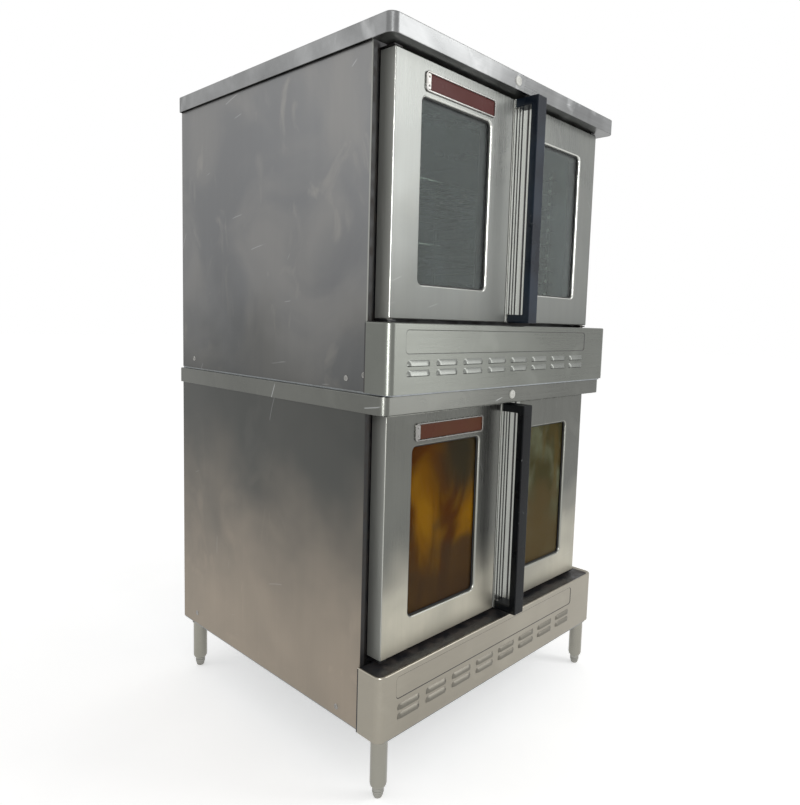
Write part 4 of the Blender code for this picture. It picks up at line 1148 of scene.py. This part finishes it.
class OVEN_OT_windows(OvenOperator):
    """Sealed window units: two panes with a black spacer between them"""

    bl_idname = "oven.windows"
    bl_label = "Windows"

    def execute(self, context):
        sizes = self.sizes(context)
        for section in SECTIONS:
            for label, _ in SIDES:
                body = f"{section}_{label}_door"
                low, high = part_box(f"{body}_window")
                outline = (low.x, high.x, low.z, high.z)
                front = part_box(f"{body}_shell")[0].y + PANE_BEHIND_FACE
                clear, soiled = "glass", "glass"
                if section == "lower":
                    clear, soiled = "dull_glass", f"greasy_{label}"
                hole = grow(outline, -GLASS_OVERLAP)
                gasket = frame_round(hole, front, GASKET)
                name = f"{section}_{label}_window_gasket"
                place_piece(name, gasket, ["rubber"], body)
                outer = slab(outline, PANE_CORNER, front, front + sizes.glass, "Y", 0.0005)
                name = f"{section}_{label}_outer_pane"
                place_piece(name, outer, [clear], body, [f"{body}_window"])
                inner = slab(outline, PANE_CORNER, high.y - sizes.glass, high.y, "Y", 0.0005)
                place_piece(f"{section}_{label}_inner_pane", inner, [soiled], body)
                near, far = front + sizes.glass + 0.0002, high.y - sizes.glass - 0.0002
                bore = grow(outline, -0.009)
                stations = [(outline, PANE_CORNER, near), (outline, PANE_CORNER, far)]
                stations += [(bore, 0.015, far), (bore, 0.015, near)]
                ring = sleeve(stations, "Y", closed=True)
                name = f"{section}_{label}_pane_spacer"
                place_piece(name, ring, ["spacer"], body)
        return {"FINISHED"}


class OVEN_OT_plates(OvenOperator):
    """Blank name plates on the left doors: a cast chrome frame round a dull red field"""

    bl_idname = "oven.plates"
    bl_label = "Blank Plates"

    def execute(self, context):
        for section in SECTIONS:
            p = plan_of(section)
            left, right, low, high = PLATE
            outline = (-p["half"] + left, -p["half"] + right, p["door_top"] + low, p["door_top"] + high)
            back = p["door_face"] - GAP
            frame_ring = frame_round(outline, back, PLATE_FRAME)
            end = (outline[0] + 0.0046, outline[0] + 0.0170, outline[2] + 0.0046, outline[3] - 0.0046)
            crest = slab(end, 0.003, back - 0.0032, back, "Y", 0.0010)
            rivet = [(0, 0), (0.0026, 0), (0.0022, 0.0012), (0.0012, 0.0018), (0, 0.0020)]
            rivets = [
                spun(rivet, ((end[0] + end[1]) / 2, back - 0.0030, z), "-Y", 12)
                for z in (outline[2] + 0.013, outline[3] - 0.013)
            ]
            casting = joined(frame_ring, crest, *rivets)
            body = f"{section}_left_door"
            place_piece(f"{section}_plate_frame", casting, ["plate"], body)
            right, low, high = outline[1] - 0.0048, outline[2] + 0.0048, outline[3] - 0.0048
            field_outline = (end[1] + 0.0006, right, low, high)
            field = frame_round(field_outline, back, PLATE_FIELD, closed=False)
            finish = "red" if section == "upper" else "brown"
            place_piece(f"{section}_plate_field", field, [finish], body)
        return {"FINISHED"}


class OVEN_OT_handles(OvenOperator):
    """Ribbed centre trims and the full-height handles in front of them"""

    bl_idname = "oven.handles"
    bl_label = "Handles and Trims"

    def execute(self, context):
        sizes = self.sizes(context)
        for section in SECTIONS:
            low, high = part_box(f"{section}_centre_trim")
            back = high.y
            outline = [(low.x, back)]
            for start, stop, rise in TRIM_RIBS:
                if start:
                    outline.append((low.x + start * MM, back - 0.0008))
                outline.append((low.x + start * MM + (0.0006 if start else 0), back - rise * MM))
                outline.append((low.x + stop * MM - 0.0006, back - rise * MM))
                if stop * MM < high.x - low.x - 0.0005:
                    outline.append((low.x + stop * MM, back - 0.0008))
            outline[-1] = (high.x, back - 0.003)
            outline.append((high.x, back))

            def on_a_rib(edge):
                a, b = (v.co for v in edge.verts)
                return abs(a.z - b.z) > 0.1 and min(a.y, b.y) < back - 0.0015

            strip = drawn(outline, low.z, high.z, "Z", 0.0007, keep=on_a_rib)
            # Faces between the ribs get oil-blackened steel, painted shade in the grooves.
            for part in strip.faces:
                middle = part.calc_center_median()
                between = low.x + 0.001 < middle.x < high.x - 0.001
                part.material_index = between and middle.y > back - 0.0016
            body = f"{section}_right_door"
            name, node = f"{section}_ribbed_trim", f"{section}_centre_trim"
            place_piece(name, strip, ["trim", "sooty"], body, [node])

            low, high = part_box(f"{section}_handle")
            bar = arm = HANDLE_BAR
            profile = [
                (high.y, low.z),
                (low.y, low.z),
                (low.y, high.z),
                (high.y, high.z),
                (high.y, high.z - arm),
                (low.y + bar, high.z - arm),
                (low.y + bar, low.z + arm),
                (high.y, low.z + arm),
            ]
            shape = drawn(profile, low.x, high.x, "X", sizes.handle_edge)
            name, node = f"{section}_door_handle", f"{section}_handle"
            place_piece(name, shape, [f"enamel_{section}"], body, [node])
            heads = [
                screw_head((low.x + 0.009, high.y - 0.003, z), axis, 0.0036, 0.0016)
                for z, axis in ((low.z + arm, "Z"), (high.z - arm, "Z"))
            ]
            name = f"{section}_handle_screws"
            place_piece(name, joined(*heads), ["plate"], body)
        return {"FINISHED"}


class OVEN_OT_cavity(OvenOperator):
    """Inside the ovens: rack guides, wire racks, the blower's inlet guard and the door seal"""

    bl_idname = "oven.cavity"
    bl_label = "Cavity"

    def execute(self, context):
        sizes = self.sizes(context)
        stud = [(0, -0.002), (0.005, -0.002), (0.004, 0.002), (0, 0.003)]
        for section in SECTIONS:
            p = plan_of(section)
            for label, side in SIDES:
                low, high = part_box(f"{section}_{label}_rack_guide")
                wall = high.x if side > 0 else low.x
                inner = low.x if side > 0 else high.x
                parts = []
                studs = []
                for y in (low.y + 0.024, low.y + 0.036, high.y - 0.036, high.y - 0.024):
                    x = wall - side * 0.0021
                    parts.append(rod([(x, y, low.z), (x, y, high.z)], GUIDE_WIRE, 8))
                count = round((high.z - low.z - 0.030) / RACK_PITCH) + 1
                ledge_top = p["cavity_floor"] + FIRST_LEDGE
                for number in range(count):
                    z = ledge_top + number * RACK_PITCH - LEDGE_WIRE
                    reach = inner + side * 0.0026
                    near = wall - side * 0.0044
                    points = [
                        (near, low.y + 0.0026, z),
                        (reach, low.y + 0.0050, z),
                        (reach, high.y - 0.0050, z),
                        (near, high.y - 0.0026, z),
                    ]
                    parts.append(rod(points, LEDGE_WIRE, 8))
                    centre = (near, low.y + 0.030, z + 0.010)
                    studs.append(spun(stud, centre, "-X" if side > 0 else "X", 12))
                # The studs are white, a painted glint standing for the bright ends of the guides.
                name = f"{section}_{label}_guide_studs"
                place_piece(name, joined(*studs), ["ceramic"], "body")
                name, node = f"{section}_{label}_wire_guide", f"{section}_{label}_rack_guide"
                place_piece(name, joined(*parts), ["chrome"], "body", [node])
            for number in (1, 2):
                low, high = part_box(f"{section}_rack_{number}")
                z = (low.z + high.z) / 2
                r = RACK_FRAME_WIRE
                x0, x1, y0, y1 = low.x + r, high.x - r, low.y + r, high.y - r
                round_trip = [(x0, y0, z), (x1, y0, z), (x1, y1, z), (x0, y1, z), (x0, y0, z)]
                parts = [rod(round_trip, r, 10)]
                thin = sizes.wire / 2
                for place in range(1, sizes.rack_wires):
                    x = x0 + (x1 - x0) * place / sizes.rack_wires
                    parts.append(rod([(x, y0, z + r - thin), (x, y1, z + r - thin)], thin, 6))
                for share in (0.25, 0.5, 0.75):
                    y = y0 + (y1 - y0) * share
                    level = z - r + RACK_CROSS_WIRE
                    parts.append(rod([(x0, y, level), (x1, y, level)], RACK_CROSS_WIRE, 8))
                name, node = f"{section}_wire_rack_{number}", f"{section}_rack_{number}"
                place_piece(name, joined(*parts), ["chrome"], node, [node])
            low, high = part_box(f"{section}_fan_baffle")
            centre = Vector((0, low.y, (low.z + high.z) / 2))
            parts = []
            for radius in GUARD_RINGS:
                around = [
                    centre + Vector((radius * math.cos(a), -0.0045, radius * math.sin(a)))
                    for a in (2 * math.pi * k / GUARD_STEPS for k in range(GUARD_STEPS + 1))
                ]
                parts.append(rod(around, 0.0012, 6))
            for angle in (math.pi / 4, 3 * math.pi / 4):
                reach = Vector((0.096 * math.cos(angle), -0.0020, 0.096 * math.sin(angle)))
                back_reach = Vector((-reach.x, reach.y, -reach.z))
                parts.append(rod([centre + back_reach, centre + reach], 0.0018, 8))
            name = f"{section}_inlet_guard"
            place_piece(name, joined(*parts), ["chrome"], "body")
            place = (high.x - 0.060, low.y, high.z - 0.045)
            rim = [(0, -0.001), (0.030, -0.001), (0.030, 0.003)]
            rim += [(0.027, 0.005), (0.023, 0.004), (0, 0.003)]
            ring = spun(rim, place, "-Y", 28)
            place_piece(f"{section}_lamp_rim", ring, ["chrome"], "body")
            dome = [(0, 0.002), (0.022, 0.002), (0.0215, 0.007), (0.0185, 0.012)]
            dome += [(0.013, 0.0155), (0.006, 0.0172), (0, 0.0175)]
            cover = spun(dome, place, "-Y", 28)
            place_piece(f"{section}_lamp_cover", cover, ["frosted"], "body")
            mouth = (-MOUTH_HALF, MOUTH_HALF, p["base"] + MOUTH_LOW, p["base"] + MOUTH_HIGH)
            face = p["door_back"] + 0.004
            seal = frame_round(mouth, face, ROPE_SEAL)
            place_piece(f"{section}_door_seal", seal, ["braid"], "body")
            for name, finish in (
                ("base_pan", "galvanised"),
                ("firebox", "galvanised"),
                ("face_frame", "sooty"),
                ("oven_liner", "porcelain"),
                ("fan_baffle", "porcelain"),
                ("left_hinge_rod", "turned"),
                ("right_hinge_rod", "turned"),
                ("blower_wheel", "galvanised"),
                ("blower_motor", "motor"),
            ):
                dress(f"{section}_{name}", finish)
        return {"FINISHED"}


class OVEN_OT_legs(OvenOperator):
    """Polished tube legs and their turned bullet feet"""

    bl_idname = "oven.legs"
    bl_label = "Legs and Feet"

    def execute(self, context):
        for row in ("front", "back"):
            for label, _ in SIDES:
                low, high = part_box(f"{row}_{label}_leg")
                x, y = (low.x + high.x) / 2, (low.y + high.y) / 2
                r = LEG_RADIUS
                profile = [
                    (STEM_HOLE, low.z),
                    (r - 0.0045, low.z),
                    (r - LEG_WALL, low.z + 0.004),
                    (r, low.z + 0.010),
                    (r, high.z - 0.0045),
                    (0.0232, high.z - 0.004),
                    (0.024, high.z - 0.003),
                    (0.024, high.z - 0.0005),
                    (0.0235, high.z),
                    (0, high.z),
                ]
                bore = [
                    (0, high.z - 0.004),
                    (r - LEG_WALL, high.z - 0.004),
                    (r - LEG_WALL, low.z + 0.025),
                    (STEM_HOLE, low.z + 0.025),
                ]
                tube = spun(bore + profile, (x, y, 0))
                node = f"{row}_{label}_leg"
                name = f"{row}_{label}_tube_leg"
                place_piece(name, tube, ["leg"], "body", [node])
                low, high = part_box(f"{row}_{label}_foot")
                profile = [
                    (0, 0),
                    (0.0085, 0),
                    (0.0100, 0.0008),
                    (0.0112, 0.0030),
                    (0.0128, 0.0080),
                    (0.0128, 0.0120),
                    (0.0145, 0.0140),
                    (0.0145, 0.0250),
                    (0.0135, 0.0280),
                    (0.0080, 0.0280),
                    (0.0080, high.z),
                    (0, high.z),
                ]
                foot = spun(profile, (x, y, 0), "Z", 36)
                node = f"{row}_{label}_foot"
                name = f"{row}_{label}_bullet_foot"
                place_piece(name, foot, ["turned"], node, [node])
        return {"FINISHED"}


# Which pieces a lamp lights (receiver) or is shaded by (blocker), by how their names end.
LINKS = (
    # The lamp would stand as a white shape in the panes.
    ("key_softbox", "receiver_collection", "EXCLUDE", ("_pane",)),
    # In a room lit from all round, the bars and caps hardly shade the doors.
    ("key_softbox", "blocker_collection", "EXCLUDE", ("_door_handle", "_cap_pressing")),
    # Lamps for the rounded corners and the front edges; a flat side would show them as hot spots.
    (
        "corner_softbox",
        "receiver_collection",
        "INCLUDE",
        ("_cap_pressing", "_front_sheet", "_skin", "left_tube_leg"),
    ),
    ("low_softbox", "receiver_collection", "INCLUDE", ("_cap_pressing", "_front_sheet")),
    ("cap_softbox", "receiver_collection", "INCLUDE", ("upper_cap_pressing",)),
)


class OVEN_OT_stage(OvenOperator):
    """A pale floor, soft lamps, white surroundings and the camera"""

    bl_idname = "oven.stage"
    bl_label = "Stage"

    def execute(self, context):
        scene = context.scene
        floor = bmesh.new()
        bmesh.ops.create_grid(floor, x_segments=1, y_segments=1, size=30.0)
        mesh = bpy.data.meshes.new("studio_floor")
        floor.to_mesh(mesh)
        floor.free()
        ground = bpy.data.objects.new("studio_floor", mesh)
        mesh.materials.append(material("floor"))
        scene.collection.objects.link(ground)

        world = bpy.data.worlds.new("white_surroundings")
        world.use_nodes = True
        tree = world.node_tree
        tree.nodes.clear()
        plain = add(tree, "Background", {"Color": (1, 1, 1, 1), "Strength": WORLD_LIGHT})
        white = add(tree, "Background", {"Color": (1, 1, 1, 1), "Strength": WORLD_SEEN})
        mixed = add(tree, "MixShader", {0: seen_directly(tree), 1: plain, 2: white})
        add(tree, "OutputWorld", {"Surface": mixed})
        scene.world = world

        for name, place, aim, size, power in LAMPS:
            data = bpy.data.lights.new(name, "AREA")
            data.shape = "RECTANGLE"
            data.size, data.size_y = size
            data.energy = power
            lamp = bpy.data.objects.new(name, data)
            lamp.location = place
            lamp.rotation_euler = (Vector(aim) - Vector(place)).to_track_quat("-Z", "Y").to_euler()
            scene.collection.objects.link(lamp)

        for lamp_name, role, state, endings in LINKS:
            group = bpy.data.collections.new(f"{lamp_name}_{role}")
            for piece in bpy.data.objects:
                if piece.name.endswith(endings):
                    group.objects.link(piece)
            for entry in group.collection_objects:
                entry.light_linking.link_state = state
            setattr(bpy.data.objects[lamp_name].light_linking, role, group)

        data = bpy.data.cameras.new("camera")
        data.lens = CAMERA_LENS
        data.shift_x, data.shift_y = CAMERA_SHIFT
        data.clip_start, data.clip_end = 0.05, 100
        camera = bpy.data.objects.new("camera", data)
        turn = Matrix.Rotation(math.radians(CAMERA_PAN), 4, "Z")
        tilt = Matrix.Rotation(math.radians(90 - CAMERA_DIP), 4, "X")
        roll = Matrix.Rotation(math.radians(CAMERA_ROLL), 4, "Z")
        camera.matrix_world = Matrix.Translation(CAMERA_PLACE) @ turn @ tilt @ roll
        scene.collection.objects.link(camera)
        scene.camera = camera
        scene.view_settings.view_transform = "Standard"
        return {"FINISHED"}


class OVEN_PT_sidebar(bpy.types.Panel):
    """Lists the operators that dress the ovens"""

    bl_idname = "OVEN_PT_sidebar"
    bl_label = "Stacked Ovens"
    bl_space_type = "VIEW_3D"
    bl_region_type = "UI"
    bl_category = "Ovens"

    def draw(self, context):
        column = self.layout.column()
        for operator in OPERATORS:
            column.operator(operator.bl_idname)
        column.separator()
        for name in OvenSizes.__annotations__:
            column.prop(context.scene.oven_sizes, name)
        for name in OvenColours.__annotations__:
            column.prop(context.scene.oven_colours, name)


OPERATORS = (
    OVEN_OT_caps,
    OVEN_OT_sides,
    OVEN_OT_front_panels,
    OVEN_OT_doors,
    OVEN_OT_windows,
    OVEN_OT_plates,
    OVEN_OT_handles,
    OVEN_OT_cavity,
    OVEN_OT_legs,
    OVEN_OT_stage,
)
CLASSES = (OvenSizes, OvenColours, *OPERATORS, OVEN_PT_sidebar)


def register():
    for cls in CLASSES:
        bpy.utils.register_class(cls)
    bpy.types.Scene.oven_sizes = PointerProperty(type=OvenSizes)
    bpy.types.Scene.oven_colours = PointerProperty(type=OvenColours)


def unregister():
    del bpy.types.Scene.oven_colours
    del bpy.types.Scene.oven_sizes
    for cls in reversed(CLASSES):
        bpy.utils.unregister_class(cls)


def main():
    register()
    for operator in OPERATORS:
        group, name = operator.bl_idname.split(".")
        getattr(getattr(bpy.ops, group), name)()


if __name__ == "__main__":
    main()
